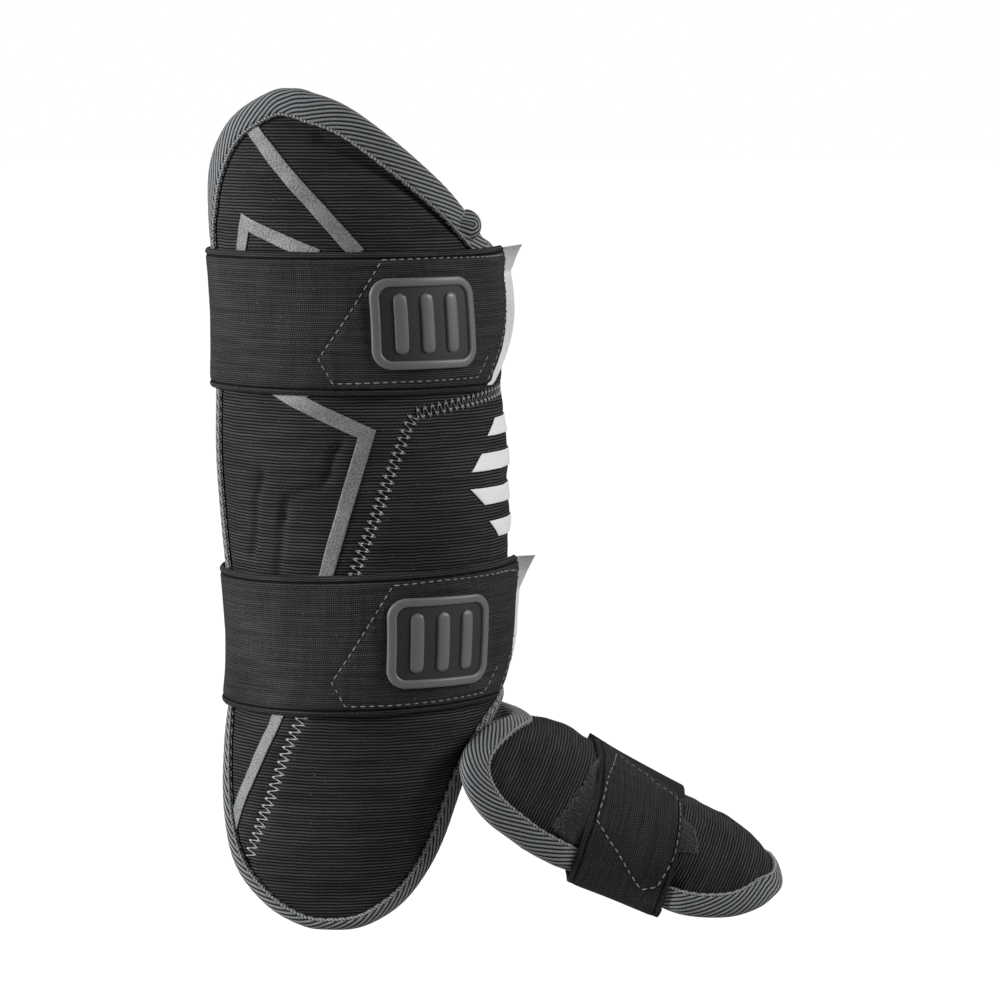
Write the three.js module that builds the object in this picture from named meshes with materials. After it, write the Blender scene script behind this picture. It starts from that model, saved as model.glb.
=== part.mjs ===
// Leg guard for a batter: a padded shin shell with two wide elastic straps, and a padded foot guard.
// Millimetres, +Z up. The origin is the middle of the leg that the shin shell wraps.
// +X is the front of the shin and the way the toes point, -Y the covered side, -X the calf.
import * as THREE from "three";

// Driving sizes of the shin shell
const GUARD_HEIGHT = 391;
const LEG_WIDTH = 124;
const LEG_DEPTH = 142;
const PAD_WALL = 9;

// Driving sizes of the foot guard, and how steeply it drops to the toes
const FOOT_LENGTH = 170;
const FOOT_HALF_WIDTH = 0.46 * LEG_WIDTH;
const FOOT_RISE = 46;
const FOOT_WALL = 8;
const FOOT_SLOPE = 27;
const SOLE_DEPTH = 0.8;

// How far behind and below the shin's lower front edge the foot's axis passes, and how far along it that is
const FOOT_SET_BACK = 7;
const FOOT_SET_DOWN = 47.8;
const FOOT_PIVOT = 0.14;

// Layers of cloth on the pads, and the clearance that pieces keep
const CLEAR = 0.5;
const TAPE = 1.5;
const STRAP_THICK = 1.8;
const FILM = 1.0;

// Straps, their hook patches, pull tabs and grip badges
const STRAP_WIDTH = 63.5;
const FOOT_STRAP_WIDTH = 47;
const FOOT_STRAP_SLANT = 42;
const HOOK_INSET = 12;
const HOOK_MARGIN = 5;
const HOOK_START = -96;
const TAB_TUCK = 11;
const FOOT_TAB_TURNS = 9;
const FOOT_TAB_END = -28;
const FOOT_TAB_LIFT = 5;
const FOOT_TAB_MARGIN = 2;
const LOOP_MARGIN = 9;
const LOOP_END = 62;
const UNDER_THICK = 0.85;
const BADGE_LENGTH = 50;
const BADGE_WIDTH = 42;
const BADGE_BORDER = 4;
const BADGE_BASE = 1.0;
const BADGE_RELIEF = 1.3;
const BADGE_RIBS = 3;
const BADGE_CORNER = 9;

// Printed stripes and bars, and the hidden webbing that joins the two guards
const STRIPE_WIDTH = 6.6;
const FRONT_BAR_HEIGHT = 8;
const FRONT_BAR_PITCH = 16;
const FRONT_BAR_SLANT = 4;
const TETHER_WIDTH = 20;
const TETHER_THICK = 2;
const TETHER_RISE = 30;

// Worked out from the layers: how far straps and trim stand off the face of a pad
const TAPE_TOP = CLEAR + TAPE;
const STRAP_LIFT = TAPE_TOP + CLEAR;
const STRAP_TOP = STRAP_LIFT + STRAP_THICK;
const UNDER_TOP = STRAP_LIFT - 1.7 * CLEAR;

// Leg sections from bottom to top: height as a share of GUARD_HEIGHT, then how far the calf side and the
// shin side of the pad stand from the axis as shares of LEG_DEPTH.
const LEG_SECTIONS = [
  { height: 0.0, calf: 0.545, shin: 0.36 },
  { height: 0.128, calf: 0.522, shin: 0.414 },
  { height: 0.21, calf: 0.468, shin: 0.456 },
  { height: 0.253, calf: 0.432, shin: 0.473 },
  { height: 0.327, calf: 0.418, shin: 0.49 },
  { height: 0.4, calf: 0.43, shin: 0.499 },
  { height: 0.48, calf: 0.45, shin: 0.502 },
  { height: 0.56, calf: 0.464, shin: 0.497 },
  { height: 0.65, calf: 0.462, shin: 0.476 },
  { height: 0.744, calf: 0.462, shin: 0.46 },
  { height: 0.847, calf: 0.487, shin: 0.43 },
  { height: 0.92, calf: 0.518, shin: 0.41 },
  { height: 1.0, calf: 0.53, shin: 0.398 },
];

// Outer edge of the shin shell, from the calf edge round the covered side to the far side of the shin.
// turn is the angle round the leg in degrees: 0 the front, -90 the covered side, -180 the calf.
// tape is the width of the binding there in mm.
const KNEE_EDGE = [
  { turn: -172.0, height: 0.8, tape: 9 },
  { turn: -171.0, height: 0.833, tape: 10 },
  { turn: -165.5, height: 0.868, tape: 12 },
  { turn: -152.7, height: 0.92, tape: 13 },
  { turn: -136.1, height: 0.966, tape: 12 },
  { turn: -116.6, height: 0.995, tape: 12 },
  { turn: -107.2, height: 0.999, tape: 13 },
  { turn: -98.9, height: 0.995, tape: 14 },
  { turn: -79.3, height: 0.971, tape: 14 },
  { turn: -44.2, height: 0.896, tape: 13 },
  { turn: -17.0, height: 0.836, tape: 9 },
  { turn: 0.0, height: 0.828, tape: 8 },
  { turn: 30.0, height: 0.83, tape: 9 },
  { turn: 48.0, height: 0.82, tape: 9 },
  { turn: 58.5, height: 0.79, tape: 9 },
  { turn: 62.0, height: 0.74, tape: 9 },
];
const ANKLE_EDGE = [
  { turn: -172.0, height: 0.27, tape: 9 },
  { turn: -168.5, height: 0.24, tape: 8 },
  { turn: -159.9, height: 0.208, tape: 8 },
  { turn: -149.4, height: 0.152, tape: 8 },
  { turn: -136.2, height: 0.075, tape: 8 },
  { turn: -117.9, height: 0.028, tape: 7 },
  { turn: -101.3, height: 0.005, tape: 6 },
  { turn: -90.2, height: 0.0, tape: 6 },
  { turn: -75.0, height: 0.002, tape: 7 },
  { turn: -59.6, height: 0.021, tape: 9 },
  { turn: -48.9, height: 0.05, tape: 10 },
  { turn: -40.3, height: 0.095, tape: 11 },
  { turn: -32.3, height: 0.178, tape: 11 },
  { turn: -26.3, height: 0.212, tape: 10 },
  { turn: -19.0, height: 0.233, tape: 8 },
  { turn: -8.0, height: 0.247, tape: 7 },
  { turn: 3.0, height: 0.251, tape: 7 },
  { turn: 20.0, height: 0.247, tape: 8 },
  { turn: 38.0, height: 0.231, tape: 9 },
  { turn: 52.0, height: 0.242, tape: 9 },
  { turn: 59.5, height: 0.272, tape: 9 },
  { turn: 62.0, height: 0.315, tape: 9 },
];

// Straps of the shin shell: the middle of the strap behind and in front as shares of GUARD_HEIGHT, the far
// end's turn, and the shaped free end as rows of across (0 lower edge, 1 upper edge) and turn.
const STRAPS = [
  {
    name: "upper",
    behind: 0.7276,
    front: 0.7276,
    start: -322,
    end: [
      { across: 0.0, turn: -31 },
      { across: 0.2, turn: -19.5 },
      { across: 0.4, turn: -8 },
      { across: 0.6, turn: 3.5 },
      { across: 0.78, turn: 11.5 },
      { across: 0.89, turn: 7 },
      { across: 1.0, turn: 0 },
    ],
    badge: { turn: -61, across: 0.5 },
    tab: { low: 6, high: 9, lift: 15 },
  },
  {
    name: "lower",
    behind: 0.3405,
    front: 0.353,
    start: -322,
    end: [
      { across: 0.0, turn: -21 },
      { across: 0.18, turn: -12.5 },
      { across: 0.36, turn: -3.5 },
      { across: 0.52, turn: 5 },
      { across: 0.7, turn: 9.5 },
      { across: 0.85, turn: 4 },
      { across: 1.0, turn: -5 },
    ],
    badge: { turn: -59, across: 0.5 },
    tab: { low: 8, high: 9, lift: 13 },
  },
];

// Printed stripes on the covered side: the middle line as rows of turn, height and width as a share of
// STRIPE_WIDTH.
const STRIPES = [
  {
    name: "stripe_knee_bar",
    line: [
      { turn: -122.2, height: 0.944, width: 1.1 },
      { turn: -85.5, height: 0.806, width: 1.1 },
    ],
  },
  {
    name: "stripe_knee_vee",
    line: [
      { turn: -138.9, height: 0.806, width: 1 },
      { turn: -134.4, height: 0.842, width: 1 },
      { turn: -101.5, height: 0.804, width: 1 },
    ],
  },
  {
    name: "stripe_shin_bend",
    line: [
      { turn: -118.5, height: 0.652, width: 1.6 },
      { turn: -85.9, height: 0.595, width: 1 },
      { turn: -105.5, height: 0.42, width: 1 },
    ],
  },
  {
    name: "stripe_ankle_bar",
    line: [
      { turn: -126.0, height: 0.262, width: 1 },
      { turn: -134.8, height: 0.148, width: 0.8 },
    ],
  },
];

// White bars on the front of the shin, from the top down: how far each reaches round either side.
const FRONT_BARS = [{ reach: 26 }, { reach: 38 }, { reach: 38 }, { reach: 26 }];
const FRONT_MARK_HEIGHT = 0.534;

// Foot sections from the ankle end to the toes: along as a share of FOOT_LENGTH, half width as a share of
// FOOT_HALF_WIDTH, and the levels of the crest and of the side edges as shares of FOOT_RISE.
const FOOT_SECTIONS = [
  { along: 0.0, half: 1.12, crest: 0.9, side: 0.0 },
  { along: 0.14, half: 1.1, crest: 0.955, side: -0.02 },
  { along: 0.22, half: 1.05, crest: 1.02, side: -0.04 },
  { along: 0.32, half: 0.99, crest: 1.01, side: -0.075 },
  { along: 0.42, half: 0.94, crest: 0.975, side: -0.08 },
  { along: 0.55, half: 0.9, crest: 0.955, side: -0.045 },
  { along: 0.69, half: 0.86, crest: 0.945, side: -0.015 },
  { along: 0.8, half: 0.83, crest: 0.935, side: 0.02 },
  { along: 0.9, half: 0.79, crest: 0.88, side: 0.06 },
  { along: 0.96, half: 0.75, crest: 0.76, side: 0.12 },
  { along: 1.0, half: 0.72, crest: 0.64, side: 0.14 },
];
// How much fuller than an ellipse the foot's sections are, and how far the strap runs straight down below
// the side edge, in degrees of turn.
const FOOT_FULLNESS = 0.1;
const HEM_TURN = 1.2;

// Outer edge of the foot guard on one side, mirrored on the other: turn from the crest in degrees.
const FOOT_ANKLE_EDGE = [
  { turn: 0, along: 0.09, tape: 12 },
  { turn: 15, along: 0.068, tape: 12 },
  { turn: 31, along: 0.032, tape: 13 },
  { turn: 47, along: 0.006, tape: 13 },
  { turn: 60, along: 0.01, tape: 13 },
  { turn: 72, along: 0.04, tape: 13 },
  { turn: 81, along: 0.09, tape: 13 },
  { turn: 87, along: 0.16, tape: 13 },
  { turn: 90, along: 0.27, tape: 13 },
];
const FOOT_TOE_EDGE = [
  { turn: 0, along: 1.0, tape: 9 },
  { turn: 20, along: 0.994, tape: 10 },
  { turn: 42, along: 0.976, tape: 12 },
  { turn: 62, along: 0.944, tape: 12 },
  { turn: 76, along: 0.89, tape: 12 },
  { turn: 85, along: 0.81, tape: 12 },
  { turn: 89, along: 0.73, tape: 12 },
  { turn: 90, along: 0.64, tape: 12 },
];

// Middle of the foot strap from its free end over the crest, down the covered side, under the sole and up
// to the far edge: turn in degrees from the crest, along as a share of FOOT_LENGTH.
const FOOT_STRAP_ROUTE = [
  { turn: -22, along: 0.45 },
  { turn: 0, along: 0.475 },
  { turn: 45, along: 0.53 },
  { turn: 90, along: 0.555 },
  { turn: 180, along: 0.555 },
  { turn: 262, along: 0.5 },
];

// Value of a table's column at a key, as a smooth curve through its rows.
function smoothColumn(rows, key, column, at) {
  const last = rows.length - 1;
  const value = (i) => rows[Math.min(Math.max(i, 0), last)][column];
  const place = (i) => rows[Math.min(Math.max(i, 0), last)][key];
  if (at <= place(0)) return value(0);
  if (at >= place(last)) return value(last);
  const i = rows.findIndex((row) => row[key] > at) - 1;
  const span = place(i + 1) - place(i);
  const share = (at - place(i)) / span;
  const slope = (k) => {
    const run = place(k + 1) - place(k - 1);
    return k > 0 && k < last ? (value(k + 1) - value(k - 1)) / run : 0;
  };
  const square = share * share;
  const cube = square * share;
  return (
    (2 * cube - 3 * square + 1) * value(i) +
    (cube - 2 * square + share) * slope(i) * span +
    (3 * square - 2 * cube) * value(i + 1) +
    (cube - square) * slope(i + 1) * span
  );
}

// Value of a table's column at a key, on straight lines between its rows.
function straightColumn(rows, key, column, at) {
  const i = Math.max(1, rows.findIndex((row) => row[key] >= at));
  const share = THREE.MathUtils.clamp((at - rows[i - 1][key]) / (rows[i][key] - rows[i - 1][key]), 0, 1);
  return THREE.MathUtils.lerp(rows[i - 1][column], rows[i][column], share);
}

// Height above the origin for a share of the guard's height.
function heightToZ(share) {
  return (share - 0.5) * GUARD_HEIGHT;
}

// Face of the shin pad: turn in degrees round the leg, z in mm.
function legFace(turn, z) {
  const share = z / GUARD_HEIGHT + 0.5;
  const calf = LEG_DEPTH * smoothColumn(LEG_SECTIONS, "height", "calf", share);
  const shin = LEG_DEPTH * smoothColumn(LEG_SECTIONS, "height", "shin", share);
  const angle = THREE.MathUtils.degToRad(turn);
  const x = (shin - calf) / 2 + ((shin + calf) / 2) * Math.cos(angle);
  return new THREE.Vector3(x, (LEG_WIDTH / 2) * Math.sin(angle), z);
}

const TOE_WAY = new THREE.Vector3(1, 0, 0).applyAxisAngle(
  new THREE.Vector3(0, 1, 0),
  THREE.MathUtils.degToRad(FOOT_SLOPE),
);
const CREST_WAY = new THREE.Vector3(0, 0, 1).applyAxisAngle(
  new THREE.Vector3(0, 1, 0),
  THREE.MathUtils.degToRad(FOOT_SLOPE),
);
const SHIN_LOW = heightToZ(straightColumn(ANKLE_EDGE, "turn", "height", 0));
const FOOT_START = legFace(0, SHIN_LOW)
  .sub(new THREE.Vector3(FOOT_SET_BACK, 0, FOOT_SET_DOWN))
  .addScaledVector(TOE_WAY, -FOOT_PIVOT * FOOT_LENGTH);

// Face of the foot pad, and below its side edges the line round the sole that only the strap follows: turn
// in degrees from the crest down the covered side, along in mm from the ankle end.
function footFace(turn, along) {
  const share = along / FOOT_LENGTH;
  const half = FOOT_HALF_WIDTH * smoothColumn(FOOT_SECTIONS, "along", "half", share);
  const crest = FOOT_RISE * smoothColumn(FOOT_SECTIONS, "along", "crest", share);
  const side = FOOT_RISE * smoothColumn(FOOT_SECTIONS, "along", "side", share);
  const around = THREE.MathUtils.euclideanModulo(turn + 180, 360) - 180;
  const angle = THREE.MathUtils.degToRad(Math.abs(around));
  const edge = Math.PI / 2;
  const hem = THREE.MathUtils.degToRad(HEM_TURN);
  let out = Math.sin(angle);
  let up = (crest - side) * Math.cos(angle);
  if (angle < edge) {
    const full = 1 + FOOT_FULLNESS * Math.sin(2 * angle) ** 2;
    out *= full;
    up *= full;
  } else if (angle < edge + hem) {
    out = 1;
    up = -(crest - side) * (angle - edge);
  } else {
    const under = ((angle - edge - hem) / (edge - hem)) * edge;
    out = Math.cos(under);
    up = -(crest - side) * hem - SOLE_DEPTH * Math.sin(under);
  }
  return FOOT_START.clone()
    .addScaledVector(TOE_WAY, along)
    .addScaledVector(CREST_WAY, side + up)
    .setY(-Math.sign(around) * half * out);
}

// Steps along a face: how far it moves for one unit of each parameter, and its outward normal.
function faceSteps(face, a, b) {
  const step = 0.5;
  const alongA = face(a + step, b).sub(face(a - step, b)).divideScalar(2 * step);
  const alongB = face(a, b + step).sub(face(a, b - step)).divideScalar(2 * step);
  return { alongA, alongB, normal: alongA.clone().cross(alongB).normalize() };
}

// A point off a face along its normal.
function offFace(face, a, b, off) {
  return face(a, b).addScaledVector(faceSteps(face, a, b).normal, off);
}

// A station moved over a face by a distance in mm along a and along b.
function moveOver(face, a, b, byA, byB) {
  const { alongA, alongB } = faceSteps(face, a, b);
  return { a: a + byA / alongA.length(), b: b + byB / alongB.length() };
}

// The inward way at each station of a closed edge that runs clockwise in a, b, in mm on the face.
function inwardWays(face, loop) {
  return loop.map((here, i) => {
    const before = loop[(i + loop.length - 1) % loop.length];
    const after = loop[(i + 1) % loop.length];
    const { alongA, alongB } = faceSteps(face, here.a, here.b);
    const way = new THREE.Vector2(
      (after.a - before.a) * alongA.length(),
      (after.b - before.b) * alongB.length(),
    ).normalize();
    return { a: way.y, b: -way.x };
  });
}

// A mesh from vertices and quads, turned so that its faces point out.
function solidMesh(name, material, points, quads) {
  const index = [];
  for (const [p, q, r, s] of quads) index.push(p, q, r, p, r, s);
  let volume = 0;
  for (let i = 0; i < index.length; i += 3) {
    const cross = points[index[i + 1]].clone().cross(points[index[i + 2]]);
    volume += points[index[i]].dot(cross);
  }
  if (volume < 0) index.reverse();
  const geometry = new THREE.BufferGeometry().setFromPoints(points);
  geometry.setIndex(index);
  geometry.computeVertexNormals();
  const mesh = new THREE.Mesh(geometry, material);
  mesh.name = name;
  return mesh;
}

// The quad on the inner side that lies under one on the outer side: turned round, with the same diagonal.
function innerTwin([p, q, r, s], shift) {
  return [p, s, r, q].map((k) => k + shift);
}

// A solid sheet on a face: grid[i][j] holds a, b and the outer and inner offsets there.
function sheetSolid(name, material, face, grid) {
  const rows = grid[0].length;
  const points = [];
  for (const side of ["outer", "inner"]) {
    for (const column of grid) {
      for (const spot of column) points.push(offFace(face, spot.a, spot.b, spot[side]));
    }
  }
  const under = grid.length * rows;
  const at = (i, j) => i * rows + j;
  const quads = [];
  for (let i = 0; i + 1 < grid.length; i += 1) {
    for (let j = 0; j + 1 < rows; j += 1) {
      const cell = [at(i, j), at(i + 1, j), at(i + 1, j + 1), at(i, j + 1)];
      quads.push(cell, innerTwin(cell, under));
    }
  }
  const rim = [];
  for (let i = 0; i < grid.length - 1; i += 1) rim.push(at(i, 0));
  for (let j = 0; j < rows - 1; j += 1) rim.push(at(grid.length - 1, j));
  for (let i = grid.length - 1; i > 0; i -= 1) rim.push(at(i, rows - 1));
  for (let j = rows - 1; j > 0; j -= 1) rim.push(at(0, j));
  rim.forEach((here, k) => {
    const next = rim[(k + 1) % rim.length];
    quads.push([next, here, here + under, next + under]);
  });
  return solidMesh(name, material, points, quads);
}

// The four sides of a padded shell as stations: low and high edges, and the two upright edges between them.
function shellEdges(low, high, columns, rows) {
  const spaced = (edge) => {
    const curve = new THREE.SplineCurve(edge.map((row) => new THREE.Vector2(row.a, row.b)));
    const tape = edge.map((row) => ({ at: row.a, tape: row.tape }));
    return curve.getSpacedPoints(columns).map((point) => ({
      a: point.x,
      b: point.y,
      tape: straightColumn(tape, "at", "tape", point.x),
    }));
  };
  const bottom = spaced(low);
  const top = spaced(high);
  const upright = (from, to) =>
    Array.from({ length: rows + 1 }, (_, j) => ({
      a: THREE.MathUtils.lerp(from.a, to.a, j / rows),
      b: THREE.MathUtils.lerp(from.b, to.b, j / rows),
      tape: THREE.MathUtils.lerp(from.tape, to.tape, j / rows),
    }));
  return { bottom, top, first: upright(bottom[0], top[0]), last: upright(bottom[columns], top[columns]) };
}

// The edge of a shell as one closed clockwise loop: up the first side, over the top, down, and back.
function edgeLoop({ bottom, top, first, last }) {
  return [
    ...first.slice(0, -1),
    ...top.slice(0, -1),
    ...last.slice(1).reverse(),
    ...bottom.slice(1).reverse(),
  ];
}

// A padded shell on a face: a grid inside the tape's inner border, a hem under the tape, and a rim that
// stays clear of the tape folded round it.
function paddedShell(name, material, face, edges, wall) {
  const columns = edges.top.length - 1;
  const rows = edges.first.length - 1;
  const loop = edgeLoop(edges);
  const ways = inwardWays(face, loop);
  const inset = (depth) =>
    loop.map(({ a, b, tape }, k) => moveOver(face, a, b, ways[k].a * depth(tape), ways[k].b * depth(tape)));
  const hem = inset((tape) => tape);
  const rim = inset(() => TAPE + 1.5 * CLEAR);
  const first = hem.slice(0, rows + 1);
  const top = hem.slice(rows, rows + columns + 1);
  const last = hem.slice(rows + columns, 2 * rows + columns + 1).reverse();
  const bottom = [...hem.slice(2 * rows + columns), hem[0]].reverse();
  const spots = [];
  for (let i = 0; i <= columns; i += 1) {
    const u = i / columns;
    for (let j = 0; j <= rows; j += 1) {
      const v = j / rows;
      const blend = (key) =>
        (1 - v) * bottom[i][key] + v * top[i][key] + (1 - u) * first[j][key] + u * last[j][key] -
        (1 - u) * (1 - v) * bottom[0][key] - u * (1 - v) * bottom[columns][key] -
        (1 - u) * v * top[0][key] - u * v * top[columns][key];
      spots.push({ a: blend("a"), b: blend("b") });
    }
  }
  const at = (i, j) => i * (rows + 1) + j;
  const border = edgeLoop({
    first: Array.from({ length: rows + 1 }, (_, j) => at(0, j)),
    top: Array.from({ length: columns + 1 }, (_, i) => at(i, rows)),
    last: Array.from({ length: rows + 1 }, (_, j) => at(columns, j)),
    bottom: Array.from({ length: columns + 1 }, (_, i) => at(i, 0)),
  });
  const rimStart = spots.length;
  spots.push(...rim);
  const cells = [];
  for (let i = 0; i < columns; i += 1) {
    for (let j = 0; j < rows; j += 1) cells.push([at(i, j), at(i + 1, j), at(i + 1, j + 1), at(i, j + 1)]);
  }
  border.forEach((here, k) => {
    const next = (k + 1) % border.length;
    cells.push([rimStart + k, here, border[next], rimStart + next]);
  });
  const quads = [];
  for (const cell of cells) quads.push(cell, innerTwin(cell, spots.length));
  rim.forEach((_, k) => {
    const here = rimStart + k;
    const next = rimStart + ((k + 1) % rim.length);
    quads.push([here, next, next + spots.length, here + spots.length]);
  });
  const points = [0, -wall].flatMap((off) => spots.map(({ a, b }) => offFace(face, a, b, off)));
  return solidMesh(name, material, points, quads);
}

// A tape folded over the edge of a padded shell: a U section carried round the closed edge.
function bindingTape(name, material, face, edges, wall) {
  const loop = edgeLoop(edges);
  const ways = inwardWays(face, loop);
  const under = -wall - CLEAR;
  const section = (width) => [
    [width, CLEAR],
    [width, TAPE_TOP],
    [TAPE, TAPE_TOP],
    [0, CLEAR],
    [0, under],
    [TAPE, under - TAPE],
    [width, under - TAPE],
    [width, under],
    [TAPE, under],
    [TAPE, CLEAR],
  ];
  const points = [];
  loop.forEach(({ a, b, tape }, k) => {
    for (const [inward, off] of section(tape)) {
      const spot = moveOver(face, a, b, ways[k].a * inward, ways[k].b * inward);
      points.push(offFace(face, spot.a, spot.b, off));
    }
  });
  const sides = section(0).length;
  const quads = [];
  for (let k = 0; k < loop.length; k += 1) {
    const next = (k + 1) % loop.length;
    for (let s = 0; s < sides; s += 1) {
      const t = (s + 1) % sides;
      quads.push([k * sides + s, next * sides + s, next * sides + t, k * sides + t]);
    }
  }
  return solidMesh(name, material, points, quads);
}

// A narrow band on a face along a line of straight stretches, mitred where the line bends; the line's rows
// give its width as a share of the full width.
function lineBand(name, material, face, line, fullWidth, outer, inner) {
  const scale = faceSteps(face, line[0].a, line[0].b);
  const flat = line.map(({ a, b }) => new THREE.Vector2(a * scale.alongA.length(), b));
  const centre = new THREE.Vector2();
  const side = (from, to) => new THREE.Vector2().subVectors(to, from).rotateAround(centre, Math.PI / 2);
  const columns = [];
  flat.forEach((point, i) => {
    const before = i > 0 ? side(flat[i - 1], point).normalize() : null;
    const after = i + 1 < flat.length ? side(point, flat[i + 1]).normalize() : null;
    const way = new THREE.Vector2().add(before ?? after).add(after ?? before).normalize();
    const width = line[i].width * fullWidth;
    const reach = width / 2 / way.dot(before ?? after);
    if (i > 0) {
      const pieces = Math.ceil(flat[i - 1].distanceTo(point) / 10);
      const start = columns[columns.length - 1];
      for (let k = 1; k < pieces; k += 1) {
        const between = THREE.MathUtils.lerp(line[i - 1].width * fullWidth, width, k / pieces);
        const middle = start.point.clone().lerp(point, k / pieces);
        columns.push({ point: middle, way: before, reach: between / 2 });
      }
    }
    columns.push({ point, way, reach });
  });
  const grid = columns.map(({ point, way, reach }) =>
    [-1, 1].map((sign) => ({
      a: (point.x + sign * way.x * reach) / scale.alongA.length(),
      b: point.y + sign * way.y * reach,
      outer,
      inner,
    })),
  );
  return sheetSolid(name, material, face, grid);
}

// Materials, in the colours of the guard
const cloth = (color, roughness) => new THREE.MeshStandardMaterial({ color, roughness, metalness: 0 });
const PAD_CLOTH = () => cloth(0x151516, 0.9);
const TAPE_CLOTH = () => cloth(0x4b5052, 0.8);
const STRAP_CLOTH = () => cloth(0x1b1b1c, 0.85);
const HOOK_CLOTH = () => cloth(0x101010, 0.95);
const GREY_FILM = () => cloth(0x6c7174, 0.5);
const WHITE_FILM = () => cloth(0xe8e8e6, 0.55);
const GREY_RUBBER = () => cloth(0x5c6063, 0.45);

const legEdge = (table) => table.map((row) => ({ ...row, a: row.turn, b: heightToZ(row.height) }));

// The shin shell and its binding
function makeShinShell() {
  const edges = shellEdges(legEdge(ANKLE_EDGE), legEdge(KNEE_EDGE), 34, 15);
  return [
    paddedShell("shin_pad", PAD_CLOTH(), legFace, edges, PAD_WALL),
    bindingTape("shin_binding", TAPE_CLOTH(), legFace, edges, PAD_WALL),
  ];
}

// Middle of a strap at a turn, rising steadily from the calf to the front.
function strapMiddle(strap, turn) {
  const share = (1 + Math.cos(THREE.MathUtils.degToRad(turn))) / 2;
  return heightToZ(THREE.MathUtils.lerp(strap.behind, strap.front, share));
}

// A wide elastic strap of the shin shell, round the calf, with its shaped free end on the shin.
function makeStrap(strap) {
  const columns = 36;
  const grid = Array.from({ length: columns + 1 }, (_, i) =>
    strap.end.map(({ across, turn }) => {
      const a = THREE.MathUtils.lerp(strap.start, turn, i / columns);
      const b = strapMiddle(strap, a) + (across - 0.5) * STRAP_WIDTH;
      return { a, b, outer: STRAP_TOP, inner: STRAP_LIFT };
    }),
  );
  return sheetSolid(strap.name + "_strap", STRAP_CLOTH(), legFace, grid);
}

// The hook patch sewn under the free end, between the strap and the pad.
function makeHookPatch(strap) {
  const columns = 12;
  const levels = 5;
  const border = HOOK_MARGIN / STRAP_WIDTH;
  const rows = Array.from({ length: levels + 1 }, (_, j) => border + ((1 - 2 * border) * j) / levels);
  const grid = Array.from({ length: columns + 1 }, (_, i) =>
    rows.map((across) => {
      const edge = straightColumn(strap.end, "across", "turn", across);
      const end = moveOver(legFace, edge, strapMiddle(strap, edge), -HOOK_INSET, 0).a;
      const a = THREE.MathUtils.lerp(HOOK_START, end, i / columns);
      const b = strapMiddle(strap, a) + (across - 0.5) * STRAP_WIDTH;
      return { a, b, outer: UNDER_TOP, inner: UNDER_TOP - UNDER_THICK };
    }),
  );
  return sheetSolid(strap.name + "_hook_patch", HOOK_CLOTH(), legFace, grid);
}

// The white pull tab tucked under the free end, which stands away from the shin beyond the strap.
function makePullTab(strap) {
  const { low, high, lift } = strap.tab;
  const rows = strap.end.filter(({ across }) => across > 0).map((row) => row.across);
  rows.unshift(0.03);
  rows[rows.length - 1] = 0.985;
  const outs = [-1, -0.5, 0, 0.3, 0.65, 1];
  const grid = outs.map((out) =>
    rows.map((across) => {
      const edge = straightColumn(strap.end, "across", "turn", across);
      const reach = out * (out < 0 ? TAB_TUCK : THREE.MathUtils.lerp(low, high, across));
      const middle = strapMiddle(strap, edge) + (across - 0.5) * STRAP_WIDTH;
      const a = moveOver(legFace, edge, middle, reach, 0).a;
      const rise = out > 0 ? lift * across * out ** 2 : 0;
      return { a, b: middle, outer: UNDER_TOP + rise, inner: UNDER_TOP - UNDER_THICK + rise };
    }),
  );
  return sheetSolid(strap.name + "_pull_tab", WHITE_FILM(), legFace, grid);
}

// Places and heights across a badge: a raised border at both ends and evenly spaced raised ribs between.
function badgeLevels(length, ribs) {
  const draft = 0.5;
  const ribWidth = (length - 2 * BADGE_BORDER) / (2 * ribs + 1);
  const levels = [
    { at: 0, up: true },
    { at: BADGE_BORDER, up: true },
    { at: BADGE_BORDER + draft, up: false },
  ];
  for (let k = 0; k < ribs; k += 1) {
    const start = BADGE_BORDER + ribWidth * (2 * k + 1);
    levels.push(
      { at: start - draft, up: false },
      { at: start, up: true },
      { at: start + ribWidth, up: true },
      { at: start + ribWidth + draft, up: false },
    );
  }
  levels.push(
    { at: length - BADGE_BORDER - draft, up: false },
    { at: length - BADGE_BORDER, up: true },
    { at: length, up: true },
  );
  return levels;
}

// A moulded grip badge on a strap: a base with a raised border and upright ribs, and rounded corners.
function makeGripBadge(strap) {
  const middle = strap.badge.turn;
  const corner = (at) => {
    const inside = Math.min(at, BADGE_LENGTH - at, BADGE_CORNER);
    return BADGE_CORNER - Math.sqrt(BADGE_CORNER ** 2 - (BADGE_CORNER - inside) ** 2);
  };
  const grid = badgeLevels(BADGE_LENGTH, BADGE_RIBS).map((column) =>
    badgeLevels(BADGE_WIDTH, 0).map((row) => {
      const squeeze = 1 - (2 * corner(column.at)) / BADGE_WIDTH;
      const byB = (row.at - BADGE_WIDTH / 2) * squeeze;
      const z = strapMiddle(strap, middle) + (strap.badge.across - 0.5) * STRAP_WIDTH;
      const spot = moveOver(legFace, middle, z, column.at - BADGE_LENGTH / 2, byB);
      const relief = column.up || row.up ? BADGE_RELIEF : 0;
      const inner = STRAP_TOP + CLEAR;
      return { ...spot, outer: inner + BADGE_BASE + relief, inner };
    }),
  );
  return sheetSolid(strap.name + "_grip_badge", GREY_RUBBER(), legFace, grid);
}

// The printed stripes of the covered side
function makeStripes() {
  return STRIPES.map(({ name, line }) =>
    lineBand(name, GREY_FILM(), legFace, legEdge(line), STRIPE_WIDTH, CLEAR + FILM, CLEAR),
  );
}

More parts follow.
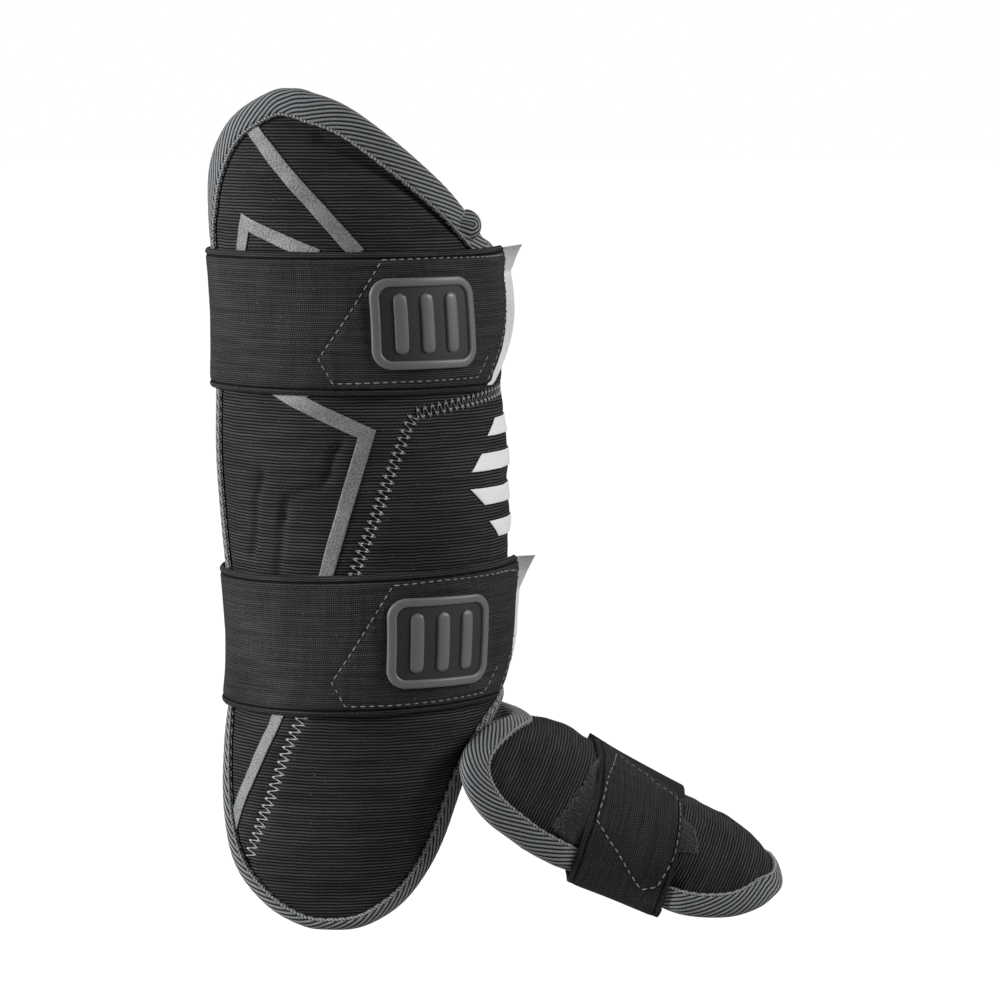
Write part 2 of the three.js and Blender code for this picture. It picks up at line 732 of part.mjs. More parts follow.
// White bars stacked on the front of the shin, with slanted ends
function makeFrontMarks() {
  const columns = 12;
  return FRONT_BARS.map(({ reach }, k) => {
    const middle = heightToZ(FRONT_MARK_HEIGHT) + (1.5 - k) * FRONT_BAR_PITCH;
    const lean = k < FRONT_BARS.length / 2 ? 1 : -1;
    const grid = Array.from({ length: columns + 1 }, (_, i) =>
      [-1, 1].map((side) => {
        const across = (2 * i) / columns - 1;
        const a = across * (reach - side * lean * FRONT_BAR_SLANT);
        return { a, b: middle + (side * FRONT_BAR_HEIGHT) / 2, outer: CLEAR + FILM, inner: CLEAR };
      }),
    );
    return sheetSolid("front_mark_" + (k + 1), WHITE_FILM(), legFace, grid);
  });
}

// An edge of the foot guard, from the covered side over the crest to the far side
function footEdge(table) {
  const half = table.map((row) => ({ a: row.turn, b: row.along * FOOT_LENGTH, tape: row.tape }));
  const covered = half.slice(1).reverse();
  return [...covered.map((row) => ({ ...row, a: -row.a })), ...half];
}

// The padded foot guard and its binding
function makeFootShell() {
  const edges = shellEdges(footEdge(FOOT_ANKLE_EDGE), footEdge(FOOT_TOE_EDGE), 22, 6);
  return [
    paddedShell("foot_pad", PAD_CLOTH(), footFace, edges, FOOT_WALL),
    bindingTape("foot_binding", TAPE_CLOTH(), footFace, edges, FOOT_WALL),
  ];
}

// Middle of the foot strap along the foot at a turn, in mm
function footStrapMiddle(turn) {
  return FOOT_LENGTH * smoothColumn(FOOT_STRAP_ROUTE, "turn", "along", turn);
}

// How much later a slanted end starts at a distance in mm towards the toes from the strap's middle, in degrees
function footStrapSlant(across) {
  return FOOT_STRAP_SLANT * (across / FOOT_STRAP_WIDTH + 0.5);
}

// A sheet along the foot strap's route, from a slanted start to a turn, with its own width and offsets. The
// slant fades out by the loop patch's end.
function routeSheet(name, material, from, to, columns, levels, halfWidth, outer, inner) {
  const grid = Array.from({ length: columns + 1 }, (_, i) => {
    const turn = THREE.MathUtils.lerp(from, to, i / columns);
    const slanted = Math.max(0, (LOOP_END - turn) / (LOOP_END - from));
    return Array.from({ length: levels + 1 }, (__, j) => {
      const across = ((2 * j) / levels - 1) * halfWidth;
      const a = turn + slanted * footStrapSlant(across);
      return { a, b: footStrapMiddle(a) + across, outer, inner };
    });
  });
  return sheetSolid(name, material, footFace, grid);
}

// The foot strap, which goes right round the foot, with its patches and its pull tab
function makeFootStrap() {
  const free = FOOT_STRAP_ROUTE[0].turn;
  const fixed = FOOT_STRAP_ROUTE[FOOT_STRAP_ROUTE.length - 1].turn;
  const half = FOOT_STRAP_WIDTH / 2;
  const tab = [-1, 0, 0.25, 0.5, 0.75, 1].map((out) =>
    [-1, -0.5, 0, 0.5, 1].map((side) => {
      const across = side * (half + FOOT_TAB_MARGIN);
      const edge = free + footStrapSlant(across);
      const a = out < 0 ? edge - out * FOOT_TAB_TURNS : THREE.MathUtils.lerp(edge, FOOT_TAB_END, out);
      const rise = out > 0 ? FOOT_TAB_LIFT * out ** 2 : 0;
      const inner = UNDER_TOP - UNDER_THICK + rise;
      return { a, b: footStrapMiddle(edge) + across, outer: UNDER_TOP + rise, inner };
    }),
  );
  const loopStart = free + 2 * FOOT_TAB_TURNS;
  const loopHalf = half + LOOP_MARGIN;
  const loopUnder = UNDER_TOP - UNDER_THICK;
  return [
    routeSheet("foot_strap", STRAP_CLOTH(), free, fixed, 36, 4, half, STRAP_TOP, STRAP_LIFT),
    routeSheet("foot_loop_patch", HOOK_CLOTH(), loopStart, LOOP_END, 8, 6, loopHalf, UNDER_TOP, loopUnder),
    sheetSolid("foot_pull_tab", STRAP_CLOTH(), footFace, tab),
  ];
}

// The hidden webbing inside, from the shin pad's lower front to the foot pad's crest
function makeTether() {
  const dish = (0.3 * TETHER_WIDTH ** 2) / (LEG_WIDTH - 2 * PAD_WALL);
  const shinInner = (z, off) => legFace(0, z).sub(new THREE.Vector3(PAD_WALL + dish + off, 0, 0));
  const footInner = (share, off) => offFace(footFace, 0, share * FOOT_LENGTH, -FOOT_WALL - dish - off);
  const under = TAPE_TOP + CLEAR;
  const route = new THREE.CatmullRomCurve3(
    [
      shinInner(SHIN_LOW + TETHER_RISE, CLEAR),
      shinInner(SHIN_LOW + 0.63 * TETHER_RISE, CLEAR),
      shinInner(SHIN_LOW + 0.43 * TETHER_RISE, under),
      shinInner(SHIN_LOW, under),
      footInner(0.09, under),
      footInner(0.17, under),
      footInner(0.22, CLEAR),
      footInner(0.28, CLEAR),
    ],
    false,
    "centripetal",
  );
  const steps = 20;
  const points = [];
  for (let i = 0; i <= steps; i += 1) {
    const point = route.getPointAt(i / steps);
    const way = route.getTangentAt(i / steps);
    const back = new THREE.Vector3(way.z, 0, -way.x).multiplyScalar(TETHER_THICK);
    for (const side of [-1, 1]) {
      const edge = new THREE.Vector3(0, (side * TETHER_WIDTH) / 2, 0);
      points.push(point.clone().add(edge), point.clone().add(edge).add(back));
    }
  }
  const ring = [0, 2, 3, 1];
  const quads = [ring, ring.map((k) => k + 4 * steps).reverse()];
  for (let i = 0; i < steps; i += 1) {
    ring.forEach((p, k) => {
      const q = ring[(k + 1) % ring.length];
      quads.push([4 * i + p, 4 * i + 4 + p, 4 * i + 4 + q, 4 * i + q]);
    });
  }
  return solidMesh("ankle_tether", STRAP_CLOTH(), points, quads);
}

const guard = new THREE.Group();
guard.name = "leg_guard";
guard.add(...makeShinShell());
for (const strap of STRAPS) {
  guard.add(makeStrap(strap), makeHookPatch(strap), makePullTab(strap), makeGripBadge(strap));
}
guard.add(...makeStripes(), ...makeFrontMarks(), ...makeFootShell(), ...makeFootStrap(), makeTether());

export default guard;
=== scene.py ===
"""Looks of the batter's leg guard: a padded shin shell with two wide straps, and a padded foot guard.

The leg's and the foot's faces are surfaces of two parameters, worked out in millimetres. Every piece is a
sheet, a tube or a sweep laid on one of them, so pads, tape, straps, films and stitches share one ground.
"""

import logging
import math
from dataclasses import dataclass, field
from enum import Enum
from functools import cache
from typing import Callable, Sequence

import bpy
import numpy as np
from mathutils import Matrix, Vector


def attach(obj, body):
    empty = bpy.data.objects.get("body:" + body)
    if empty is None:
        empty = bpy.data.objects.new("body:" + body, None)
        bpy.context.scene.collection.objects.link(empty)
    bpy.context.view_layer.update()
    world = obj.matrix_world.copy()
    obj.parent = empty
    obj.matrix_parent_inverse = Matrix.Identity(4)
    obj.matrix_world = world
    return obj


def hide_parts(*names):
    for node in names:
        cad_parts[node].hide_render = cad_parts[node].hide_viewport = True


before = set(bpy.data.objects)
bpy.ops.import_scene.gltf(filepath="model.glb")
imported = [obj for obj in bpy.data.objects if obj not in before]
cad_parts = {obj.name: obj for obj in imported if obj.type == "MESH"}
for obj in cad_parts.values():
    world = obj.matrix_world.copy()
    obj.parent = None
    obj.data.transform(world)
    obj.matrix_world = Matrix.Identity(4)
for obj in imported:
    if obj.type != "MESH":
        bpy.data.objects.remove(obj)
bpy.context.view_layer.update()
LOG = logging.getLogger("leg_guard")
MM = 0.001

# Leg sections: height as a share of the guard's height, calf and shin reach as shares of the leg's depth.
LEG_SECTIONS = np.array([
    [0.0, 0.545, 0.36], [0.128, 0.522, 0.414], [0.21, 0.468, 0.456], [0.253, 0.432, 0.473],
    [0.327, 0.418, 0.49], [0.4, 0.43, 0.499], [0.48, 0.45, 0.502], [0.56, 0.464, 0.497],
    [0.65, 0.462, 0.476], [0.744, 0.462, 0.46], [0.847, 0.487, 0.43], [0.92, 0.518, 0.41],
    [1.0, 0.53, 0.398],
])
# Edges of the shin shell: turn in degrees, height as a share, width of the tape in mm.
KNEE_EDGE = np.array([
    [-172.0, 0.8, 9], [-171.0, 0.833, 10], [-165.5, 0.868, 12], [-152.7, 0.92, 13], [-136.1, 0.966, 12],
    [-116.6, 0.995, 12], [-107.2, 0.999, 13], [-98.9, 0.995, 14], [-79.3, 0.971, 14], [-44.2, 0.891, 15],
    [-17.0, 0.823, 14], [0.0, 0.815, 12], [30.0, 0.823, 10], [48.0, 0.82, 9], [58.5, 0.79, 9], [62.0, 0.74, 9],
])
ANKLE_EDGE = np.array([
    [-172.0, 0.27, 9], [-168.5, 0.24, 8], [-159.9, 0.208, 8], [-149.4, 0.152, 8], [-136.2, 0.075, 8],
    [-117.9, 0.028, 7], [-101.3, 0.005, 6], [-90.2, 0.0, 6], [-75.0, 0.002, 7], [-59.6, 0.021, 9],
    [-48.9, 0.05, 10], [-40.3, 0.095, 11], [-32.3, 0.178, 11], [-26.3, 0.212, 10], [-19.0, 0.233, 8],
    [-8.0, 0.247, 7], [3.0, 0.251, 7], [20.0, 0.247, 8], [38.0, 0.231, 9], [52.0, 0.242, 9],
    [59.5, 0.272, 9], [62.0, 0.315, 9],
])
# Foot sections: along as a share, half width, crest level and side level as shares.
FOOT_SECTIONS = np.array([
    [0.0, 1.12, 0.9, 0.0], [0.14, 1.1, 0.955, -0.02], [0.22, 1.05, 1.02, -0.04], [0.32, 0.99, 1.01, -0.075],
    [0.42, 0.94, 0.975, -0.08], [0.55, 0.9, 0.955, -0.045], [0.69, 0.86, 0.945, -0.015],
    [0.8, 0.83, 0.935, 0.02], [0.9, 0.79, 0.88, 0.06], [0.96, 0.75, 0.76, 0.12], [1.0, 0.72, 0.64, 0.14],
])
# Edges of the foot guard on one side: turn from the crest, along as a share, width of the tape in mm.
FOOT_ANKLE_EDGE = np.array([
    [0, 0.09, 12], [15, 0.068, 12], [31, 0.032, 13], [47, 0.006, 13], [60, 0.01, 13], [72, 0.04, 13],
    [81, 0.09, 13], [87, 0.16, 13], [90, 0.27, 13],
])
FOOT_TOE_EDGE = np.array([
    [0, 1.0, 9], [20, 0.994, 10], [42, 0.976, 12], [62, 0.944, 12], [76, 0.89, 12], [85, 0.81, 12],
    [89, 0.73, 12], [90, 0.64, 12],
])
# Middle of the foot strap: turn from the crest, along as a share.
FOOT_STRAP_ROUTE = np.array([
    [-22, 0.484], [0, 0.486], [29, 0.497], [52, 0.522], [90, 0.555], [180, 0.555], [262, 0.5],
])

# Turn of the shin shell's calf edge, and about how many mm one degree is round the leg
CALF_EDGE = -172.0
LEG_DEGREE = 1.14
# Walls of the pads in mm, and the ribs of the tape: pitch in mm and lean in degrees, for mesh and finish alike
SHIN_WALL = 9.0
FOOT_WALL = 8.0
RIB_PITCH = 1.9
RIB_LEAN = 22.0
# Layers in mm above the face of a pad: tops of tape and straps, the sheets tucked under a strap, printed films
TAPE_TOP = 2.0
STRAP_TOP = 4.3
UNDER_HALF = 0.42
UNDER_MIDDLE = 1.65 - UNDER_HALF
FILM_LIFT = 0.2


def smooth_column(rows: np.ndarray, column: int, at: np.ndarray) -> np.ndarray:
    """Value of a table's column on a smooth curve through its rows, keyed by column 0.

    Args:
        rows: The table, in rising order of its first column.
        column: Which column to read.
        at: Keys to read it at.

    Returns:
        Cubic values with central slopes, flat at both ends.
    """
    keys, values = rows[:, 0], rows[:, column]
    slope = np.zeros(len(keys))
    slope[1:-1] = (values[2:] - values[:-2]) / (keys[2:] - keys[:-2])
    i = np.clip(np.searchsorted(keys, at, side="right") - 1, 0, len(keys) - 2)
    span = keys[i + 1] - keys[i]
    t = np.clip((at - keys[i]) / span, 0, 1)
    square, cube = t * t, t ** 3
    start = (2 * cube - 3 * square + 1) * values[i] + (cube - 2 * square + t) * slope[i] * span
    return start + (3 * square - 2 * cube) * values[i + 1] + (cube - square) * slope[i + 1] * span


def ease(value: np.ndarray) -> np.ndarray:
    """0 below 0, 1 above 1 and a soft S between them."""
    t = np.clip(value, 0, 1)
    return t * t * (3 - 2 * t)


def ripple(x: np.ndarray, y: np.ndarray, seed: int, waves: int = 6) -> np.ndarray:
    """Smooth seeded unevenness of about -1 to 1: a sum of sine waves in all directions over x, y."""
    rng = np.random.default_rng(seed)
    turns = rng.uniform(0, 2 * np.pi, waves)
    phases = rng.uniform(0, 2 * np.pi, waves)
    scales = rng.uniform(0.7, 1.5, waves) * 2 * np.pi
    parts = [
        np.sin((x * np.cos(turn) + y * np.sin(turn)) * scale + phase)
        for turn, phase, scale in zip(turns, phases, scales)
    ]
    return sum(parts) / waves ** 0.5


def unit(ways: np.ndarray) -> np.ndarray:
    """The same directions with a length of 1."""
    return ways / np.maximum(np.linalg.norm(ways, axis=-1, keepdims=True), 1e-9)


def arc_length(points: np.ndarray) -> np.ndarray:
    """Distance along a row of points, from 0."""
    return np.concatenate([[0], np.cumsum(np.linalg.norm(np.diff(points, axis=0), axis=-1))])


def bulged(wave: np.ndarray, power: float) -> np.ndarray:
    """A sine or cosine raised to a power with its sign kept, which squares off a round section."""
    return np.sign(wave) * np.abs(wave) ** power


class Face:
    """A surface of two parameters a and b, in millimetres."""

    def point(self, a: np.ndarray, b: np.ndarray) -> np.ndarray:
        """Points on the surface."""
        raise NotImplementedError

    def steps(self, a: np.ndarray, b: np.ndarray) -> tuple[np.ndarray, np.ndarray, np.ndarray]:
        """How far the surface moves for one unit of a and of b, and its outward normal."""
        step = 0.5
        along_a = (self.point(a + step, b) - self.point(a - step, b)) / (2 * step)
        along_b = (self.point(a, b + step) - self.point(a, b - step)) / (2 * step)
        return along_a, along_b, unit(np.cross(along_a, along_b))

    def off(self, a: np.ndarray, b: np.ndarray, off: np.ndarray) -> np.ndarray:
        """Points off the surface along its normal."""
        a, b, off = np.broadcast_arrays(a, b, off)
        return self.point(a, b) + off[..., None] * self.steps(a, b)[2]

    def moved(self, a: np.ndarray, b: np.ndarray, by_a: np.ndarray, by_b: np.ndarray) -> tuple:
        """Stations moved over the surface by distances in mm along a and b."""
        along_a, along_b, _ = self.steps(a, b)
        return a + by_a / np.linalg.norm(along_a, axis=-1), b + by_b / np.linalg.norm(along_b, axis=-1)


@dataclass
class LegFace(Face):
    """The leg's face: a is the turn in degrees from the front, b the height from the middle in mm."""

    height: float = 391.0
    width: float = 124.0
    depth: float = 142.0

    def point(self, a: np.ndarray, b: np.ndarray) -> np.ndarray:
        """Points of an ellipse whose calf and shin reach follow the section table."""
        a, b = np.broadcast_arrays(np.asarray(a, float), np.asarray(b, float))
        share = b / self.height + 0.5
        calf = self.depth * smooth_column(LEG_SECTIONS, 1, share)
        shin = self.depth * smooth_column(LEG_SECTIONS, 2, share)
        angle = np.radians(a)
        x = (shin - calf) / 2 + (shin + calf) / 2 * np.cos(angle)
        return np.stack([x, self.width / 2 * np.sin(angle), b], -1)

    def level(self, share: np.ndarray) -> np.ndarray:
        """Height above the origin for a share of the guard's height."""
        return (np.asarray(share) - 0.5) * self.height


@dataclass
class FootFace(Face):
    """The foot's face: a is the turn in degrees from the crest, b the distance along in mm."""

    leg: LegFace
    length: float = 170.0
    half_width: float = 0.46 * 124.0
    rise: float = 46.0
    slope: float = 27.0
    sole: float = 0.8
    fullness: float = 0.1
    hem: float = 1.2

    def __post_init__(self) -> None:
        """Sets the foot's axis from the lower front edge of the shin shell."""
        tilt = math.radians(self.slope)
        self.toe_way = np.array([math.cos(tilt), 0, -math.sin(tilt)])
        self.crest_way = np.array([math.sin(tilt), 0, math.cos(tilt)])
        self.shin_low = float(self.leg.level(np.interp(0.0, ANKLE_EDGE[:, 0], ANKLE_EDGE[:, 1])))
        edge = self.leg.point(np.array(0.0), np.array(self.shin_low))
        self.start = edge - np.array([7.0, 0, 47.8]) - 0.14 * self.length * self.toe_way

    def point(self, a: np.ndarray, b: np.ndarray) -> np.ndarray:
        """Points of a full half ellipse over the foot, then of a thin flat one under the sole."""
        a, b = np.broadcast_arrays(np.asarray(a, float), np.asarray(b, float))
        share = b / self.length
        half = self.half_width * smooth_column(FOOT_SECTIONS, 1, share)
        crest = self.rise * smooth_column(FOOT_SECTIONS, 2, share)
        side = self.rise * smooth_column(FOOT_SECTIONS, 3, share)
        around = np.mod(a + 180, 360) - 180
        angle = np.radians(np.abs(around))
        edge, hem = np.pi / 2, np.radians(self.hem)
        full = 1 + self.fullness * np.sin(2 * angle) ** 2
        under = (angle - edge - hem) / (edge - hem) * edge
        out = np.where(angle < edge, np.sin(angle) * full, np.where(angle < edge + hem, 1.0, np.cos(under)))
        low = -(crest - side) * (angle - edge)
        sole = -(crest - side) * hem - self.sole * np.sin(under)
        up = np.where(angle < edge, (crest - side) * np.cos(angle) * full, np.where(angle < edge + hem, low, sole))
        place = self.start + b[..., None] * self.toe_way + (side + up)[..., None] * self.crest_way
        place[..., 1] = -np.sign(around) * half * out
        return place


LEG = LegFace()
FOOT = FootFace(LEG)


@dataclass
class MeshData:
    """Points in mm, with faces and their corners' UVs in metres, in batches of one side count each."""

    points: np.ndarray
    faces: list[np.ndarray]
    uvs: list[np.ndarray]

    def volume(self) -> float:
        """Signed volume enclosed by the faces, as fans of triangles."""
        total = 0.0
        for batch in self.faces:
            first = self.points[batch[:, 0]]
            for k in range(1, batch.shape[1] - 1):
                cross = np.cross(self.points[batch[:, k]], self.points[batch[:, k + 1]])
                total += float((first * cross).sum())
        return total / 6

    def facing_out(self) -> "MeshData":
        """The same mesh with its faces turned outward."""
        if self.volume() < 0:
            self.faces = [batch[:, ::-1] for batch in self.faces]
            self.uvs = [batch[:, ::-1] for batch in self.uvs]
        return self


def grid_faces(index: np.ndarray, uv: np.ndarray) -> tuple[np.ndarray, np.ndarray]:
    """Quads of a grid of point numbers, with the UVs of their corners."""
    quads = np.stack([index[:-1, :-1], index[1:, :-1], index[1:, 1:], index[:-1, 1:]], -1).reshape(-1, 4)
    corners = np.stack([uv[:-1, :-1], uv[1:, :-1], uv[1:, 1:], uv[:-1, 1:]], -2).reshape(-1, 4, 2)
    return quads, corners


def rings(points: np.ndarray, uv: np.ndarray | None = None, looped: bool = False) -> MeshData:
    """A closed mesh of rings of points, each joined to the next.

    Args:
        points: The rings, as rings by points by 3.
        uv: UVs in metres with the first column, and for a loop the first row, repeated at the end, or None.
        looped: Whether the last ring joins the first, instead of a flat face at both ends.

    Returns:
        The mesh, facing out.
    """
    index = np.arange(points.size // 3).reshape(points.shape[:2])
    caps = np.stack([index[0], index[-1, ::-1]])
    if looped:
        index = np.concatenate([index, index[:1]])
    index = np.concatenate([index, index[:, :1]], 1)
    quads, corners = grid_faces(index, np.zeros(index.shape + (2,)) if uv is None else uv)
    faces, uvs = [quads, caps], [corners, np.zeros(caps.shape + (2,))]
    return MeshData(points.reshape(-1, 3), faces[:1] if looped else faces, uvs[:1] if looped else uvs).facing_out()


def two_sided(top: np.ndarray, low: np.ndarray, uv: np.ndarray) -> MeshData:
    """A closed sheet between two grids of points, with one grid of UVs in metres for both."""
    count = top.size // 3
    index = np.arange(count).reshape(top.shape[:2])
    quads, corners = grid_faces(index, uv)
    rim = np.concatenate([index[:-1, 0], index[-1, :-1], index[:0:-1, -1], index[0, :0:-1]])
    flat = uv.reshape(-1, 2)
    after = np.roll(rim, -1)
    sides = np.stack([after, rim, rim + count, after + count], -1)
    side_uv = np.stack([flat[after], flat[rim], flat[rim], flat[after]], 1)
    faces = np.concatenate([quads, quads[:, ::-1] + count, sides])
    uvs = np.concatenate([corners, corners[:, ::-1], side_uv])
    return MeshData(np.concatenate([top.reshape(-1, 3), low.reshape(-1, 3)]), [faces], [uvs]).facing_out()


def slab(face: Face, a: np.ndarray, b: np.ndarray, outer: np.ndarray, inner: np.ndarray,
         uv: np.ndarray | None = None) -> MeshData:
    """A closed sheet on a face.

    Args:
        face: The face it lies on.
        a, b: Grids of stations.
        outer, inner: Grids of the offsets of its two sides in mm.
        uv: Grid of UVs in mm, or None for the distances along the grid.

    Returns:
        The mesh, facing out.
    """
    a, b, outer, inner = np.broadcast_arrays(a, b, outer, inner)
    top = face.off(a, b, outer)
    if uv is None:
        run = np.linalg.norm(np.diff(top, axis=0), axis=-1)
        rise = np.linalg.norm(np.diff(top, axis=1), axis=-1)
        u = np.concatenate([np.zeros((1, top.shape[1])), np.cumsum(run, 0)])
        v = np.concatenate([np.zeros((top.shape[0], 1)), np.cumsum(rise, 1)], 1)
        uv = np.stack([u, v], -1)
    return two_sided(top, face.off(a, b, inner), uv * MM)


def soft_edge(distance: np.ndarray, half: float, radius: float) -> np.ndarray:
    """Half thickness of a sheet whose edge is rounded over a radius, at a distance from its edge."""
    t = 1 - np.clip(distance / radius, 0, 1)
    return np.maximum(half * np.sqrt(1 - t * t), 0.05)


def spaced(length: float, fine: float, coarse: float, reach: float) -> np.ndarray:
    """Places from 0 to length, closer together near both ends."""
    near = [0.0, 0.12]
    while near[-1] < reach:
        near.append(near[-1] + min(fine, 0.1 + 0.6 * near[-1]))
    near = np.array(near)
    middle = np.linspace(near[-1], length - near[-1], max(2, int((length - 2 * near[-1]) / coarse)))
    return np.concatenate([near, middle[1:-1], length - near[::-1]])


def tubes(centre: np.ndarray, side: np.ndarray, up: np.ndarray, radius: np.ndarray, sides: int = 6) -> MeshData:
    """Separate closed tubes, one for each row of centres.

    Args:
        centre: Points of the middle lines, as tubes by rings by 3.
        side, up: Unit directions across each ring, of the same shape.
        radius: Radius of each ring, of a shape that fits tubes by rings.
        sides: Sides of a tube.

    Returns:
        The tubes in one mesh, with flat end faces.
    """
    count, steps = centre.shape[:2]
    angle = np.arange(sides) / sides * 2 * np.pi
    radius = np.broadcast_to(radius, (count, steps))[..., None, None]
    ring = np.cos(angle)[:, None] * side[:, :, None] + np.sin(angle)[:, None] * up[:, :, None]
    points = centre[:, :, None] + radius * ring
    index = np.arange(points.size // 3).reshape(count, steps, sides)
    wrap = np.concatenate([index, index[:, :, :1]], 2)
    quads = np.stack([wrap[:, :-1, :-1], wrap[:, 1:, :-1], wrap[:, 1:, 1:], wrap[:, :-1, 1:]], -1).reshape(-1, 4)
    gap = np.linalg.norm(np.diff(centre, axis=1), axis=-1)
    run = np.concatenate([np.zeros((count, 1)), np.cumsum(gap, 1)], 1)
    u = np.broadcast_to(run[:, :, None], (count, steps, sides + 1)) * MM
    v = np.broadcast_to(np.arange(sides + 1) / sides, u.shape) * 2 * MM
    uv = np.stack([u, v], -1)
    corners = np.stack([uv[:, :-1, :-1], uv[:, 1:, :-1], uv[:, 1:, 1:], uv[:, :-1, 1:]], -2).reshape(-1, 4, 2)
    caps = np.concatenate([index[:, 0], index[:, -1, ::-1]])
    return MeshData(points.reshape(-1, 3), [quads, caps], [corners, np.zeros(caps.shape + (2,))]).facing_out()


def nearest(points: np.ndarray, line: np.ndarray) -> tuple[np.ndarray, np.ndarray]:
    """Distance of each point to the closest point of a line, and which one that is."""
    flat = points.reshape(-1, 3)
    distance = np.empty(len(flat))
    which = np.empty(len(flat), int)
    size = (line ** 2).sum(-1)
    for start in range(0, len(flat), 8000):
        part = flat[start:start + 8000]
        square = size - 2 * part @ line.T
        which[start:start + 8000] = square.argmin(1)
        best = square.min(1) + (part ** 2).sum(-1)
        distance[start:start + 8000] = np.sqrt(np.maximum(best, 0))
    return distance.reshape(points.shape[:-1]), which.reshape(points.shape[:-1])


@dataclass
class Line:
    """A line over a face through marks, sampled evenly in mm."""

    face: Face
    marks: Sequence[tuple[float, float]]
    step: float = 0.5
    closed: bool = False

    def __post_init__(self) -> None:
        """Samples the line and keeps its stations, points and length."""
        marks = np.asarray(self.marks, float)
        if self.closed:
            marks = np.concatenate([marks, marks[:1]])
        share = np.linspace(0, len(marks) - 1, 60 * len(marks))
        a = np.interp(share, np.arange(len(marks)), marks[:, 0])
        b = np.interp(share, np.arange(len(marks)), marks[:, 1])
        along = arc_length(self.face.point(a, b))
        self.length = float(along[-1])
        self.even = np.linspace(0, self.length, max(2, int(self.length / self.step)))
        self.a = np.interp(self.even, along, a)
        self.b = np.interp(self.even, along, b)
        self.points = self.face.point(self.a, self.b)

    def at(self, along: np.ndarray) -> tuple[np.ndarray, np.ndarray]:
        """Stations at distances along the line."""
        return np.interp(along, self.even, self.a), np.interp(along, self.even, self.b)

    def distance(self, points: np.ndarray) -> np.ndarray:
        """Distance of points on the face to the line, in mm."""
        return nearest(points, self.points)[0]


Height = Callable[[np.ndarray, np.ndarray], np.ndarray]


class Stitch(Enum):
    """Kinds of stitch: how long each thread is, how far apart, how thick, and how far it slants."""

    DASH = (2.9, 3.9, 0.34, 0.0)
    ROPE = (2.3, 1.8, 0.56, 0.42)


def stitch_run(line: Line, height: Height, kind: Stitch) -> MeshData:
    """Threads along a line over a sheet, each a small tube that dips in at its ends.

    Args:
        line: Where the seam runs.
        height: Offset of the sheet's face at a station.
        kind: Which stitch.

    Returns:
        The threads in one mesh.
    """
    long, pitch, radius, slant = kind.value
    count = max(1, int(line.length / pitch))
    middle = (np.arange(count) + 0.5) * line.length / count
    t = np.linspace(-1, 1, 5)
    a, b = line.at(middle[:, None] + t * long / 2)
    rise = radius * (1.05 - 1.5 * np.abs(t) ** 3)
    centre = line.face.off(a, b, height(a, b) + rise)
    _, _, up = line.face.steps(a, b)
    ahead = np.broadcast_to((centre[:, -1] - centre[:, 0])[:, None], centre.shape)
    side = unit(np.cross(ahead, up))
    centre = centre + side * (slant * t)[:, None]
    return tubes(centre, side, up, radius * np.sqrt(1.02 - t * t) ** 0.6, 5)


def zigzag_run(line: Line, height: Height, period: float, width: float, radius: float) -> tuple[MeshData, MeshData]:
    """A zigzag seam: threads from each needle hole on one side to the next on the other, and beads at their ends."""
    count = max(2, int(2 * line.length / period))
    along = np.linspace(0, line.length, count + 1)
    a, b = line.at(along)
    ahead_a, ahead_b = line.at(np.minimum(along + 1, line.length))
    back_a, back_b = line.at(np.maximum(along - 1, 0))
    way_a, way_b, _ = line.face.steps(a, b)
    run = np.stack([(ahead_a - back_a) * np.linalg.norm(way_a, axis=-1),
                    (ahead_b - back_b) * np.linalg.norm(way_b, axis=-1)], -1)
    run = unit(run)
    sway = width / 2 * (-1.0) ** np.arange(count + 1)
    a, b = line.face.moved(a, b, -run[:, 1] * sway, run[:, 0] * sway)
    t = np.linspace(0, 1, 7)
    hole_a = a[:-1, None] + (a[1:] - a[:-1])[:, None] * t
    hole_b = b[:-1, None] + (b[1:] - b[:-1])[:, None] * t
    rise = radius * (1.6 - 2.4 * np.abs(2 * t - 1) ** 6)
    centre = line.face.off(hole_a, hole_b, height(hole_a, hole_b) + rise)
    _, _, up = line.face.steps(hole_a, hole_b)
    side = unit(np.cross(np.broadcast_to((centre[:, -1] - centre[:, 0])[:, None], centre.shape), up))
    thread = tubes(centre, side, up, np.array([1.3, 1.1, 1, 1, 1, 1.1, 1.3]) * radius)
    ends = np.concatenate([centre[:, 1:3], centre[:, 4:6]])
    middle, half = ends.mean(1, keepdims=True), (ends[:, 1:] - ends[:, :1]) * 0.55
    bead = middle + half * np.linspace(-1, 1, 5)[:, None]
    over = np.concatenate([up[:, [1]], up[:, [5]]]) + 0 * bead
    lie = unit(np.cross(half + 0 * bead, over))
    return thread, tubes(bead + 0.1 * over, lie, over, np.array([0.3, 0.85, 1, 0.85, 0.3]) * 1.7 * radius)


